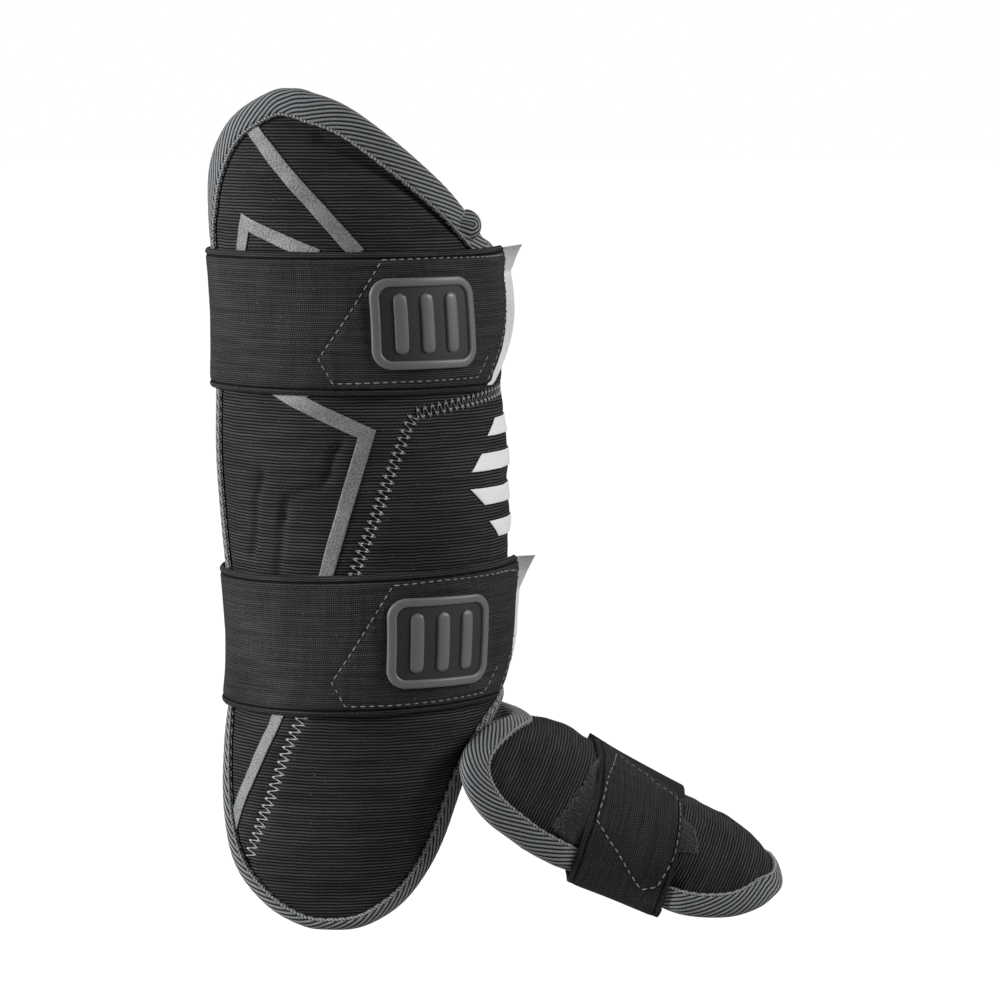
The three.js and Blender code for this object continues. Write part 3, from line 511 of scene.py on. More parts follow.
@dataclass
class ShellEdge:
    """The closed outer edge of a padded shell, clockwise seen from outside: up, over the top and back."""

    face: Face
    low: np.ndarray
    high: np.ndarray

    @staticmethod
    def _spline(rows: np.ndarray, count: int) -> np.ndarray:
        """Evenly spaced points of a uniform Catmull-Rom spline through rows of a, b, with the tape's width."""
        last = len(rows) - 1
        place = np.linspace(0, last, 4001)
        i = np.minimum(place.astype(int), last - 1)
        t = (place - i)[:, None]
        p = [rows[np.clip(i + k, 0, last), :2] for k in (-1, 0, 1, 2)]
        start, end = (p[2] - p[0]) / 2, (p[3] - p[1]) / 2
        curve = (2 * p[1] - 2 * p[2] + start + end) * t ** 3 + (3 * p[2] - 3 * p[1] - 2 * start - end) * t ** 2
        curve = curve + start * t + p[1]
        along = arc_length(curve)
        even = np.linspace(0, along[-1], count + 1)
        a, b = (np.interp(even, along, curve[:, k]) for k in (0, 1))
        return np.stack([a, b, np.interp(a, rows[:, 0], rows[:, 2])], -1)

    def loop(self, columns: int, rows: int) -> np.ndarray:
        """The edge as one clockwise loop of stations a, b and tape width."""
        bottom, top = self._spline(self.low, columns), self._spline(self.high, columns)
        share = np.linspace(0, 1, rows + 1)[:, None]
        first = bottom[0] + (top[0] - bottom[0]) * share
        last = bottom[-1] + (top[-1] - bottom[-1]) * share
        return np.concatenate([first[:-1], top[:-1], last[:0:-1], bottom[:0:-1]])

    def inward(self, loop: np.ndarray, window: int) -> np.ndarray:
        """Inward way in mm at each station of a loop, evened out over a window of stations."""
        way_a, way_b, _ = self.face.steps(loop[:, 0], loop[:, 1])
        ahead, back = np.roll(loop, -1, 0), np.roll(loop, 1, 0)
        run = np.stack([(ahead - back)[:, 0] * np.linalg.norm(way_a, axis=-1),
                        (ahead - back)[:, 1] * np.linalg.norm(way_b, axis=-1)], -1)
        run = unit(run)
        way = np.stack([run[:, 1], -run[:, 0]], -1)
        return unit(sum(np.roll(way, k, 0) for k in range(-window, window + 1)))

    def even_loop(self, step: float) -> tuple[np.ndarray, np.ndarray]:
        """The loop at even distances in mm, and those distances with the whole length last."""
        dense = self.loop(900, 400)
        dense = np.concatenate([dense, dense[:1]])
        along = arc_length(self.face.point(dense[:, 0], dense[:, 1]))
        even = np.linspace(0, along[-1], int(along[-1] / step) + 1)
        stations = np.stack([np.interp(even[:-1], along, dense[:, k]) for k in range(3)], -1)
        return stations, even

    def patch(self, columns: int, rows: int, inset: float) -> tuple[np.ndarray, np.ndarray]:
        """A grid of stations over the shell, from its inset edge inward, as a Coons patch."""
        loop = self.loop(columns, rows)
        way = self.inward(loop, 3)
        a, b = self.face.moved(loop[:, 0], loop[:, 1], way[:, 0] * inset, way[:, 1] * inset)
        edge = np.stack([a, b], -1)
        first = edge[:rows + 1]
        top = edge[rows:rows + columns + 1]
        last = edge[rows + columns:2 * rows + columns + 1][::-1]
        bottom = np.concatenate([edge[2 * rows + columns:], edge[:1]])[::-1]
        u = np.linspace(0, 1, columns + 1)[:, None, None]
        v = np.linspace(0, 1, rows + 1)[None, :, None]
        grid = (1 - v) * bottom[:, None] + v * top[:, None] + (1 - u) * first[None] + u * last[None]
        grid = grid - (1 - u) * ((1 - v) * bottom[0] + v * top[0]) - u * ((1 - v) * bottom[-1] + v * top[-1])
        return grid[..., 0], grid[..., 1]


@dataclass
class Tape:
    """A ribbed tape folded over the edge of a padded shell and stitched along its inner border."""

    edge: ShellEdge
    wall: float
    pitch: float = RIB_PITCH
    lean: float = RIB_LEAN
    relief: float = 0.34
    roll: float = 5.0
    dip: float = 1.45
    border_in: float = 0.9
    step: float = 1.35
    pressed: Callable[[np.ndarray, np.ndarray], np.ndarray] | None = None

    def __post_init__(self) -> None:
        """Samples the edge with a whole number of ribs round it."""
        self.stations, self.along = self.edge.even_loop(self.step)
        self.way = self.edge.inward(self.stations, 5)
        self.points = self.edge.face.point(self.stations[:, 0], self.stations[:, 1])
        sine = math.sin(math.radians(self.lean))
        ribs = round(self.along[-1] * sine / self.pitch)
        self.u = self.along * (ribs * self.pitch / sine / self.along[-1])

    def border(self, points: np.ndarray) -> np.ndarray:
        """Distance in mm of points on the pad's face from the tape's inner border, negative under the tape."""
        distance, which = nearest(points, self.points)
        return distance - self.stations[which, 2]

    def section(self, width: np.ndarray) -> tuple[np.ndarray, np.ndarray, np.ndarray]:
        """The folded section for each width: how far inward and how far off the face, and where it is ribbed."""
        width = width[:, None]
        roll = np.minimum(self.roll, 0.62 * width)
        under = -self.wall - TAPE_TOP
        flat = width + (roll - width) * np.linspace(0, 1, 32)
        dip = self.dip * (1 - ease((width - flat) / 2.6))
        angle = np.radians(np.linspace(90, -90, 38))[1:-1]
        power = 2 / 2.5
        fold = roll * (1 - np.abs(np.cos(angle)) ** power)
        swell = -self.wall / 2 + (self.wall / 2 + TAPE_TOP) * bulged(np.sin(angle), power)
        back = roll + (width - roll) * np.linspace(0, 1, 9)
        rise = self.dip * (1 - ease((width - back) / 2.6))
        inset = 2.4 + 0 * width
        inward = np.concatenate([flat, fold, back, width, inset, inset, width], 1)
        ones = np.ones_like(width)
        off = np.concatenate([
            TAPE_TOP - dip, np.broadcast_to(swell, fold.shape), under + rise,
            (-self.wall - 0.4) * ones, (-self.wall - 0.4) * ones, 0.4 * ones, 0.4 * ones,
        ], 1)
        ribbed = np.concatenate([
            ease((width - flat) / 1.6), np.ones_like(fold), ease((width - back) / 1.6), np.zeros((len(width), 4)),
        ], 1)
        return inward, off, ribbed

    def knob(self, spot: tuple[float, float], wide: float, tall: float, rise: float) -> MeshData:
        """The tape's folded end: a small dome whose ribs run in from the tape and turn round its middle.

        Args:
            spot: Station of its middle.
            wide, tall: Half sizes along a and b in mm; it is half as wide again towards the tape, where it flattens.
            rise: Height above the face in mm.

        Returns:
            The closed dome, with UVs that turn the tape's slanting ribs into arcs.
        """
        share = np.concatenate([np.linspace(0.03, 0.9, 60), np.linspace(0.92, 1, 8)])[:, None]
        angle = np.radians(np.arange(0, 360, 4))
        taper = np.maximum(-np.cos(angle), 0)
        x, y = share * wide * np.cos(angle) * (1 + 0.5 * taper), share * tall * np.sin(angle)
        bend, flatten = 3.2, 0.42
        reach = np.hypot(np.maximum(x + bend, 0), y + flatten * np.minimum(x + bend, 0))
        crest = np.abs(np.cos(np.pi * reach / self.pitch))
        off = 0.9 + rise * (1 - share ** 2) ** (0.7 + 1.3 * taper)
        off = off + self.relief * (crest * (2 - crest) - 0.45) * ease((1 - share) / 0.06)
        a, b = self.edge.face.moved(spot[0] + 0 * x, spot[1] + 0 * x, x, y)
        points = self.edge.face.off(a, b, off)
        v = np.concatenate([reach, reach[:, :1]], 1) / math.cos(math.radians(self.lean))
        return rings(points, np.stack([0 * v, v], -1) * MM)

    def mesh(self) -> MeshData:
        """Sweeps the section round the edge, then raises slanting ribs along the fold's own normal.

        Returns:
            The closed tape, with UVs along the edge and across the section from the inner border outward.
        """
        a, b, width = self.stations.T
        inward, off, ribbed = self.section(width)
        moved_a, moved_b = self.edge.face.moved(a[:, None], b[:, None], self.way[:, :1] * inward,
                                                self.way[:, 1:] * inward)
        if self.pressed is not None:
            off = off - self.pressed(moved_a, moved_b) * ease(off / self.wall + 1)
        points = self.edge.face.off(moved_a, moved_b, off)
        gap = np.linalg.norm(np.diff(points, axis=1, append=points[:, :1]), axis=-1)
        v = np.concatenate([np.zeros((len(points), 1)), np.cumsum(gap, 1)], 1)
        lean = math.radians(self.lean)
        phase = (self.u[:-1, None] * math.sin(lean) - v[:, :-1] * math.cos(lean)) / self.pitch
        crest = np.abs(np.cos(np.pi * phase))
        ahead = np.roll(points, -1, 0) - np.roll(points, 1, 0)
        across = np.roll(points, -1, 1) - np.roll(points, 1, 1)
        normal = unit(np.cross(across, ahead))
        out = self.edge.face.steps(moved_a, moved_b)[2]
        if (normal[:, 10] * out[:, 10]).sum() < 0:
            normal = -normal
        lift = self.relief * (crest * (2 - crest) - 0.45) * ribbed
        points = points + normal * lift[..., None]
        v = np.concatenate([v, v[:1]])
        return rings(points, np.stack(np.broadcast_arrays(self.u[:, None], v), -1) * MM, looped=True)

    def seam(self) -> MeshData:
        """The twisted stitches along the inner border."""
        a, b, width = self.stations.T
        inward = self.way * (width - self.border_in)[:, None]
        spot = self.edge.face.moved(a, b, inward[:, 0], inward[:, 1])
        line = Line(self.edge.face, np.stack(spot, -1)[::3], closed=True)
        return stitch_run(line, self.seam_height, Stitch.ROPE)

    def seam_height(self, a: np.ndarray, b: np.ndarray) -> np.ndarray:
        """Offset of the stitches over the tape's inner border."""
        return 0.9 + 0 * (a + b) - (self.pressed(a, b) if self.pressed is not None else 0)


@dataclass
class Groove:
    """A sewn or pressed line in a pad: its marks, depth and half width in mm."""

    line: Line
    depth: float
    reach: float


@dataclass
class Pad:
    """A padded shell: a crowned cloth face pressed in along its seams, over a foam wall with a lining."""

    tape: Tape
    grooves: list[Groove]
    crown: float = 0.5
    crown_reach: float = 26.0
    sewn_dip: float = 0.35
    wrinkle: float = 0.34
    seed: int = 3
    stretch: tuple[float, float] = (60.0, 17.0)
    fine: float = 0.35
    fine_stretch: tuple[float, float] = (23.0, 9.0)

    def height(self, a: np.ndarray, b: np.ndarray) -> np.ndarray:
        """Offset of the cloth from the pad's plain face: crown, sewn borders, grooves and soft wrinkles."""
        points = self.tape.edge.face.point(a, b)
        border = self.tape.border(points)
        level = self.crown * ease(border / self.crown_reach) - self.sewn_dip * (1 - ease((border + 1.5) / 6.5))
        for groove in self.grooves:
            level = level - groove.depth * np.exp(-(groove.line.distance(points) / groove.reach) ** 2)
        uneven = ripple(a * LEG_DEGREE / self.stretch[0], b / self.stretch[1], self.seed)
        fine = ripple(a * LEG_DEGREE / self.fine_stretch[0], b / self.fine_stretch[1], self.seed + 1)
        if self.tape.pressed is not None:
            level = level - self.tape.pressed(a, b)
        return level + self.wrinkle * ease(border / 12) * (uneven + self.fine * fine)

    def mesh(self, columns: int, rows: int) -> MeshData:
        """The closed pad over a grid, with UVs in mm round and along the limb."""
        a, b = self.tape.edge.patch(columns, rows, 3.2)
        lining = -self.tape.wall + 0.3 * ripple(a / 30, b / 26, self.seed + 2)
        uv = np.stack([a * LEG_DEGREE, b], -1)
        return slab(self.tape.edge.face, a, b, self.height(a, b), lining, uv)


def banded(face: Face, marks: np.ndarray, widths: np.ndarray, height: Height, thick: float) -> MeshData:
    """A narrow film along straight stretches, mitred where they bend, with softened edges.

    Args:
        face: The face it is printed on.
        marks: Stations of its middle line.
        widths: Its width in mm at each of them.
        height: Offset of the pad under it.
        thick: Its thickness in mm.

    Returns:
        The film as a closed mesh.
    """
    scale = np.linalg.norm(face.steps(marks[0, 0], marks[0, 1])[0])
    flat = marks * [scale, 1]
    run = unit(np.diff(flat, axis=0))
    side = np.stack([-run[:, 1], run[:, 0]], -1)
    before, after = np.concatenate([side[:1], side]), np.concatenate([side, side[-1:]])
    way = unit(before + after)
    reach = way * (widths / 2 / (way * before).sum(-1))[:, None]
    along = arc_length(flat)
    places = np.unique(np.concatenate([spaced(along[-1], 0.5, 1.4, 1.5), along]))
    centre = np.stack([np.interp(places, along, flat[:, k]) for k in (0, 1)], -1)[:, None]
    half = np.stack([np.interp(places, along, reach[:, k]) for k in (0, 1)], -1)[:, None]
    across = np.array([-1, -0.97, -0.9, -0.78, -0.5, 0, 0.5, 0.78, 0.9, 0.97, 1.0])
    spot = centre + half * across[:, None]
    a, b = spot[..., 0] / scale, spot[..., 1]
    edge = (1 - np.abs(across)) * np.linalg.norm(half, axis=-1)
    edge = np.minimum(edge, np.minimum(places, along[-1] - places)[:, None])
    body = soft_edge(edge, thick / 2, 0.7)
    level = height(a, b) + FILM_LIFT + thick / 2
    return slab(face, a, b, level + body, level - body)


class Slot(Enum):
    """Material slots."""

    PAD = "pad_cloth"
    TAPE = "tape_cloth"
    STRAP = "strap_webbing"
    HOOK = "hook_cloth"
    TAB = "tab_leather"
    GREY = "grey_film"
    WHITE = "white_film"
    RUBBER = "grey_rubber"


class Graph:
    """A short way to add and join shader nodes in a tree."""

    def __init__(self, tree: bpy.types.NodeTree) -> None:
        """Keeps the tree."""
        self.tree = tree

    def node(self, kind: str, inputs: dict | None = None, **settings: object) -> bpy.types.Node:
        """Adds a node, with values or links on its inputs and settings on itself."""
        made = self.tree.nodes.new(kind)
        for key, value in settings.items():
            setattr(made, key, value)
        for key, value in (inputs or {}).items():
            if isinstance(value, bpy.types.NodeSocket):
                self.tree.links.new(value, made.inputs[key])
            else:
                made.inputs[key].default_value = value
        return made

    def math(self, operation: str, *values: object) -> bpy.types.NodeSocket:
        """The result of a math node."""
        return self.node("ShaderNodeMath", dict(enumerate(values)), operation=operation).outputs[0]

    def times(self, first: object, second: object) -> bpy.types.NodeSocket:
        """The product of two values."""
        return self.math("MULTIPLY", first, second)

    def plus(self, first: object, second: object) -> bpy.types.NodeSocket:
        """The sum of two values."""
        return self.math("ADD", first, second)

    def minus(self, first: object, second: object) -> bpy.types.NodeSocket:
        """The difference of two values."""
        return self.math("SUBTRACT", first, second)

    def noise(self, vector: object, scale: float, detail: float, **more: float) -> bpy.types.NodeSocket:
        """Smooth noise of a scale."""
        inputs = {"Vector": vector, "Scale": scale, "Detail": detail, **more}
        return self.node("ShaderNodeTexNoise", inputs).outputs[0]

    def between(self, value: object, low: float, high: float) -> bpy.types.NodeSocket:
        """0 where a value is at low, 1 at high, and a straight line between them."""
        return self.node("ShaderNodeMapRange", {"Value": value, "From Min": low, "From Max": high}).outputs[0]

    def split(self, vector: object) -> tuple[bpy.types.NodeSocket, bpy.types.NodeSocket]:
        """The first two parts of a vector."""
        return tuple(self.node("ShaderNodeSeparateXYZ", {0: vector}).outputs)[:2]

    def mix(self, share: object, first: object, second: object) -> bpy.types.NodeSocket:
        """A colour between two colours."""
        return self.node("ShaderNodeMix", {0: share, 6: first, 7: second}, data_type="RGBA").outputs[2]

    def dress(self, shader: bpy.types.Node, colour: object, height: object, bump: tuple[float, float],
              values: dict[str, float]) -> None:
        """Gives a Principled shader its colour, a bump of a height, and its uniform values.

        Args:
            shader: The Principled shader.
            colour: Its base colour.
            height: Height field of the bump.
            bump: Strength and distance of the bump.
            values: Value of each other input.
        """
        normal = self.node("ShaderNodeBump", {"Height": height, "Strength": bump[0], "Distance": bump[1]})
        self.tree.links.new(colour, shader.inputs["Base Color"])
        self.tree.links.new(normal.outputs[0], shader.inputs["Normal"])
        for name, value in values.items():
            shader.inputs[name].default_value = value


def new_group(name: str, inputs: Sequence[str], outputs: Sequence[str]) -> tuple:
    """A new shader node group over a vector.

    Args:
        name: The group's name.
        inputs: Names of the values that it takes beside the vector.
        outputs: Names of the values that it gives.

    Returns:
        The tree, a graph over it, its input node and its output node.
    """
    tree = bpy.data.node_groups.new(name, "ShaderNodeTree")
    tree.interface.new_socket(name="Vector", in_out="INPUT", socket_type="NodeSocketVector")
    for way, labels in (("INPUT", inputs), ("OUTPUT", outputs)):
        for label in labels:
            tree.interface.new_socket(name=label, in_out=way, socket_type="NodeSocketFloat")
    graph = Graph(tree)
    return tree, graph, graph.node("NodeGroupInput"), graph.node("NodeGroupOutput")


@cache
def weave_group() -> bpy.types.NodeTree:
    """Ribs along U, broken by cross threads: gives the tops as a mask, which paints highlight on the rib crests and
    shade in the grooves and the gaps between crossings, and a height for bump.
    """
    takes = ("Ribs", "Crossings", "Break", "Ribbing")
    tree, graph, source, out = new_group("rib_weave", takes, ("Top", "Height"))
    vector = source.outputs["Vector"]
    u, v = graph.split(vector)
    sway = graph.times(graph.minus(graph.noise(vector, 120.0, 1.0), 0.5), 0.5)
    rib = graph.plus(graph.times(v, source.outputs["Ribs"]), sway)
    crest = graph.math("ABSOLUTE", graph.math("COSINE", graph.times(rib, math.pi)))
    crest = graph.minus(1.0, graph.times(graph.minus(1.0, crest), source.outputs["Ribbing"]))
    row = graph.math("ROUND", rib)
    cross = graph.plus(graph.times(u, source.outputs["Crossings"]), graph.times(row, 0.5))
    wave = graph.math("COSINE", graph.times(cross, 2 * math.pi))
    gap = graph.times(graph.plus(graph.times(wave, 0.5), 0.5), source.outputs["Break"])
    speck = graph.noise(vector, 1500.0, 2.0)
    spot = graph.node("ShaderNodeCombineXYZ", {0: graph.times(u, 26.0), 1: graph.times(row, 0.73)})
    streak = graph.noise(spot.outputs[0], 1.0, 1.0)
    tone = graph.plus(graph.times(speck, streak), -0.25)
    # The Top mask paints highlight on the rib crests and shade in the grooves and crossing gaps, with random tone
    # from the specks and streaks
    shade = graph.times(graph.minus(1.0, gap), graph.plus(graph.times(tone, 2.4), 0.85))
    tree.links.new(graph.times(graph.math("POWER", crest, 2.0), shade), out.inputs["Top"])
    tree.links.new(graph.times(crest, graph.minus(1.0, graph.times(gap, 0.5))), out.inputs["Height"])
    return tree


@cache
def grain_group() -> bpy.types.NodeTree:
    """A fine pebbled grain with soft blotches: gives a mask and a height."""
    tree, graph, source, out = new_group("fine_grain", ("Scale",), ("Mask", "Height"))
    vector = source.outputs["Vector"]
    cells = graph.node("ShaderNodeTexVoronoi", {"Vector": vector, "Scale": source.outputs["Scale"]})
    domes = graph.between(cells.outputs["Distance"], 0.75, 0.15)
    tree.links.new(domes, out.inputs["Height"])
    blotch = graph.noise(vector, 90.0, 3.0)
    tree.links.new(graph.plus(graph.times(domes, 0.7), graph.times(blotch, 0.3)), out.inputs["Mask"])
    return tree


@cache
def wear_group() -> bpy.types.NodeTree:
    """Slow unevenness of colour over a piece and a little pale lint, from object coordinates."""
    tree, graph, source, out = new_group("cloth_wear", (), ("Fade", "Lint"))
    vector = source.outputs["Vector"]
    tree.links.new(graph.noise(vector, 22.0, 3.0), out.inputs["Fade"])
    tree.links.new(graph.between(graph.noise(vector, 620.0, 1.0), 0.72, 0.8), out.inputs["Lint"])
    return tree


def grey(level: float, blue: float = 1.0) -> tuple[float, float, float, float]:
    """A linear grey, with a little more or less blue."""
    return (level, level * (1 + (blue - 1) / 2), level * blue, 1.0)


@dataclass(frozen=True)
class Cloth:
    """A ribbed woven cloth: its ground and rib tops, its ribs and crossings per metre, its bump, and how far from the
    middle a dark line runs along each edge groove. The near-black ground paints shade in the grooves and gaps, the
    lighter rib tops paint highlight on the crests, and the edge line is painted shade.
    """

    name: str
    ground: float
    top: float
    ribs: float
    crossings: float
    gap: float = 0.45
    bump: float = 0.6
    depth: float = 0.0004
    roughness: float = 0.9
    blue: float = 1.03
    ribbing: float = 1.0
    painted_groove_shade: float = 0.0
    object_space: bool = False

    def material(self) -> bpy.types.Material:
        """Builds the material: woven mask on the colour as painted highlight on the rib crests and painted shade in
        the grooves, woven height as bump, faded by slow wear, and a painted shade line along each edge groove where
        one is set.
        """
        made, graph, shader = new_material(self.name)
        place = graph.node("ShaderNodeTexCoord")
        vector = place.outputs["Object" if self.object_space else "UV"]
        weave = graph.node("ShaderNodeGroup", {"Vector": vector, "Ribs": self.ribs, "Crossings": self.crossings,
                                               "Break": self.gap, "Ribbing": self.ribbing}, node_tree=weave_group())
        wear = graph.node("ShaderNodeGroup", {"Vector": place.outputs["Object"]}, node_tree=wear_group())
        # From ground to rib top: painted shade in the grooves and gaps, painted highlight on the crests
        share = graph.times(weave.outputs["Top"], graph.plus(wear.outputs["Fade"], 0.5))
        colour = graph.mix(share, grey(self.ground, self.blue), grey(self.top, self.blue))
        colour = graph.mix(graph.times(wear.outputs["Lint"], 0.25), colour, grey(self.top * 2.5))
        # A dark line along the groove near each woven edge paints the shade in that groove
        if self.painted_groove_shade:
            across = graph.math("ABSOLUTE", graph.split(vector)[1])
            away = graph.math("ABSOLUTE", graph.minus(across, self.painted_groove_shade))
            line = graph.between(away, 0.0007, 0.0003)
            colour = graph.mix(graph.times(line, 0.9), colour, grey(self.ground * 0.5))
        graph.dress(shader, colour, weave.outputs["Height"], (self.bump, self.depth),
                    {"Roughness": self.roughness, "Specular IOR Level": 0.12})
        return made


@dataclass(frozen=True)
class TapeCloth:
    """The binding's twill: light slanting ribs with painted shade in the dark grooves between them, and fine threads
    across them.
    """

    name: str = "binding_twill"
    # Colour of the grooves between the ribs, which paints their shade, and of the rib tops
    groove: float = 0.004
    rib: float = 0.29
    pitch: float = RIB_PITCH
    lean: float = RIB_LEAN
    threads: float = 1000.0

    def material(self) -> bpy.types.Material:
        """Builds the material: ribs from the same phase as the tape's mesh, with painted shade in the grooves on the
        colour, threads as fine bump.
        """
        made, graph, shader = new_material(self.name)
        place = graph.node("ShaderNodeTexCoord")
        u, v = graph.split(place.outputs["UV"])
        sine, cosine = math.sin(math.radians(self.lean)), math.cos(math.radians(self.lean))
        scale = 1 / (self.pitch * MM)
        phase = graph.minus(graph.times(u, sine * scale), graph.times(v, cosine * scale))
        crest = graph.math("ABSOLUTE", graph.math("COSINE", graph.times(phase, math.pi)))
        run = graph.plus(graph.times(u, cosine * self.threads), graph.times(v, sine * self.threads))
        thread = graph.math("ABSOLUTE", graph.math("SINE", graph.times(run, math.pi)))
        tint = graph.plus(graph.times(thread, 0.7), graph.noise(place.outputs["UV"], 1300.0, 2.0))
        # The groove colour between the rib crests paints the shade in the grooves
        mask = graph.times(graph.between(crest, 0.42, 0.95), tint)
        colour = graph.mix(mask, grey(self.groove, 1.05), grey(self.rib, 1.09))
        graph.dress(shader, colour, graph.plus(graph.times(thread, 0.25), crest), (0.5, 0.0004),
                    {"Roughness": 0.72, "Sheen Weight": 0.05, "Specular IOR Level": 0.25})
        return made


@dataclass(frozen=True)
class Smooth:
    """A smooth finish with a fine grain: film, leather, rubber or thread."""

    name: str
    low: float
    high: float
    roughness: float = 0.45
    grain: float = 1400.0
    bump: float = 0.2
    depth: float = 0.0002
    blue: float = 1.0
    specular: float = 0.5

    def material(self) -> bpy.types.Material:
        """Builds the material: grain on the colour and as bump."""
        made, graph, shader = new_material(self.name)
        place = graph.node("ShaderNodeTexCoord")
        inputs = {"Vector": place.outputs["Object"], "Scale": self.grain}
        grain = graph.node("ShaderNodeGroup", inputs, node_tree=grain_group())
        colour = graph.mix(grain.outputs["Mask"], grey(self.low, self.blue), grey(self.high, self.blue))
        graph.dress(shader, colour, grain.outputs["Height"], (self.bump, self.depth),
                    {"Roughness": self.roughness, "Specular IOR Level": self.specular})
        return made


@dataclass(frozen=True)
class Nap:
    """The fuzzy face of hook-and-loop cloth."""

    name: str
    low: float
    high: float

    def material(self) -> bpy.types.Material:
        """Builds the material: tangled fibres as stretched noise on the colour and as bump."""
        made, graph, shader = new_material(self.name)
        place = graph.node("ShaderNodeTexCoord")
        tangle = graph.noise(place.outputs["Object"], 750.0, 4.0, Roughness=0.7, Distortion=1.5)
        colour = graph.mix(graph.between(tangle, 0.35, 0.72), grey(self.low), grey(self.high))
        graph.dress(shader, colour, tangle, (0.7, 0.0006), {"Roughness": 0.95, "Sheen Weight": 0.4})
        return made


def new_material(name: str) -> tuple[bpy.types.Material, Graph, bpy.types.Node]:
    """A material with only a Principled shader on its output, a graph over its tree, and that shader."""
    made = bpy.data.materials.new(name)
    made.use_nodes = True
    made.node_tree.nodes.clear()
    graph = Graph(made.node_tree)
    shader = graph.node("ShaderNodeBsdfPrincipled")
    graph.node("ShaderNodeOutputMaterial", {"Surface": shader.outputs[0]})
    return made, graph, shader


@dataclass
class Finishes:
    """Every finish of the guard, built once."""

    made: dict[str, bpy.types.Material] = field(default_factory=dict)

    def build(self) -> None:
        """Builds the materials."""
        for finish in (
            # The ribbed cloths and elastics paint highlight on the rib crests and shade in the grooves; the strap
            # elastics also paint a shade line along each edge groove
            Cloth("pad_ribbed_cloth", 0.001, 0.088, 690, 1400, bump=0.8, depth=0.0005),
            Cloth("foot_ribbed_cloth", 0.001, 0.095, 690, 1400, bump=0.8, depth=0.0005),
            Cloth("strap_elastic", 0.002, 0.105, 1000, 1000, gap=0.85, ribbing=0.7, painted_groove_shade=0.03),
            Cloth("foot_strap_elastic", 0.002, 0.085, 1000, 1000, gap=0.85, ribbing=0.7, painted_groove_shade=0.0205),
            Cloth("tether_webbing", 0.004, 0.06, 700, 900, object_space=True),
            TapeCloth(),
            Smooth("strap_thread", 0.16, 0.34, 0.6, 2500, blue=1.02),
            Smooth("seam_thread", 0.32, 0.56, 0.55, 2500, blue=1.05),
            # A darker copy of the seam thread: painted shade on the first zigzag seam's threads
            Smooth("seam_thread_painted_shade", 0.12, 0.22, 0.6, 2500, blue=1.05),
            Smooth("border_thread", 0.2, 0.42, 0.6, 2500, blue=1.05),
            Smooth("stripe_film", 0.11, 0.31, 0.45, 1350, bump=0.5, depth=0.0003, blue=1.05),
            Smooth("white_film", 0.82, 0.9, 0.5, 1500),
            Smooth("tab_leather", 0.66, 0.76, 0.5, 1100, bump=0.3),
            Smooth("black_tab", 0.003, 0.009, 0.8, 1300, specular=0.15),
            Smooth("badge_base", 0.012, 0.022, 0.6, 1800),
            Smooth("badge_rubber", 0.12, 0.16, 0.4, 2200, bump=0.1, blue=1.06),
            Smooth("loop_fibre", 0.08, 0.24, 0.8, 2500),
            Nap("loop_nap", 0.003, 0.02),
            Nap("hook_nap", 0.005, 0.03),
        ):
            self.made[finish.name] = finish.material()

    def __getitem__(self, name: str) -> bpy.types.Material:
        """The material of that name."""
        return self.made[name]


FINISHES = Finishes()


def join(parts: Sequence[MeshData]) -> MeshData:
    """One mesh of several."""
    shift = np.cumsum([0] + [len(part.points) for part in parts])
    faces = [batch + shift[k] for k, part in enumerate(parts) for batch in part.faces]
    return MeshData(np.concatenate([part.points for part in parts]), faces, [u for part in parts for u in part.uvs])


def placed(name: str, data: bpy.types.ID) -> bpy.types.Object:
    """A new object of the scene that shows data."""
    made = bpy.data.objects.new(name, data)
    bpy.context.scene.collection.objects.link(made)
    return made


def make_piece(name: str, parts: Sequence[tuple[MeshData, str]],
               replaces: Sequence[str] = ()) -> bpy.types.Object:
    """Makes an object in metres, with a material for each part, that rides on the guard.

    Args:
        name: The piece's name.
        parts: Meshes with the names of their finishes.
        replaces: CAD nodes it stands for.

    Returns:
        The object.
    """
    names = list(dict.fromkeys(finish for _, finish in parts))
    data = join([part for part, _ in parts])
    mesh = bpy.data.meshes.new(name)
    corners = np.concatenate([batch.ravel() for batch in data.faces])
    sizes = np.concatenate([np.full(len(batch), batch.shape[1]) for batch in data.faces])
    mesh.vertices.add(len(data.points))
    mesh.vertices.foreach_set("co", (data.points * MM).astype(np.float32).ravel())
    mesh.loops.add(len(corners))
    mesh.loops.foreach_set("vertex_index", corners.astype(np.int32))
    mesh.polygons.add(len(sizes))
    mesh.polygons.foreach_set("loop_start", np.concatenate([[0], np.cumsum(sizes)[:-1]]).astype(np.int32))
    mesh.polygons.foreach_set("use_smooth", np.ones(len(sizes), bool))
    which = np.concatenate([
        np.full(len(batch), names.index(finish)) for part, finish in parts for batch in part.faces
    ])
    mesh.polygons.foreach_set("material_index", which.astype(np.int32))
    layer = mesh.uv_layers.new(name="UVMap")
    flat = np.concatenate([batch.reshape(-1, 2) for batch in data.uvs])
    layer.data.foreach_set("uv", flat.astype(np.float32).ravel())
    mesh.update(calc_edges=True)
    mesh.validate()
    for finish in names:
        mesh.materials.append(FINISHES[finish])
    piece = placed(name, mesh)
    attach(piece, "root")
    if replaces:
        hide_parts(*replaces)
    LOG.info("%s: %d triangles", name, int((sizes - 2).sum()))
    return piece


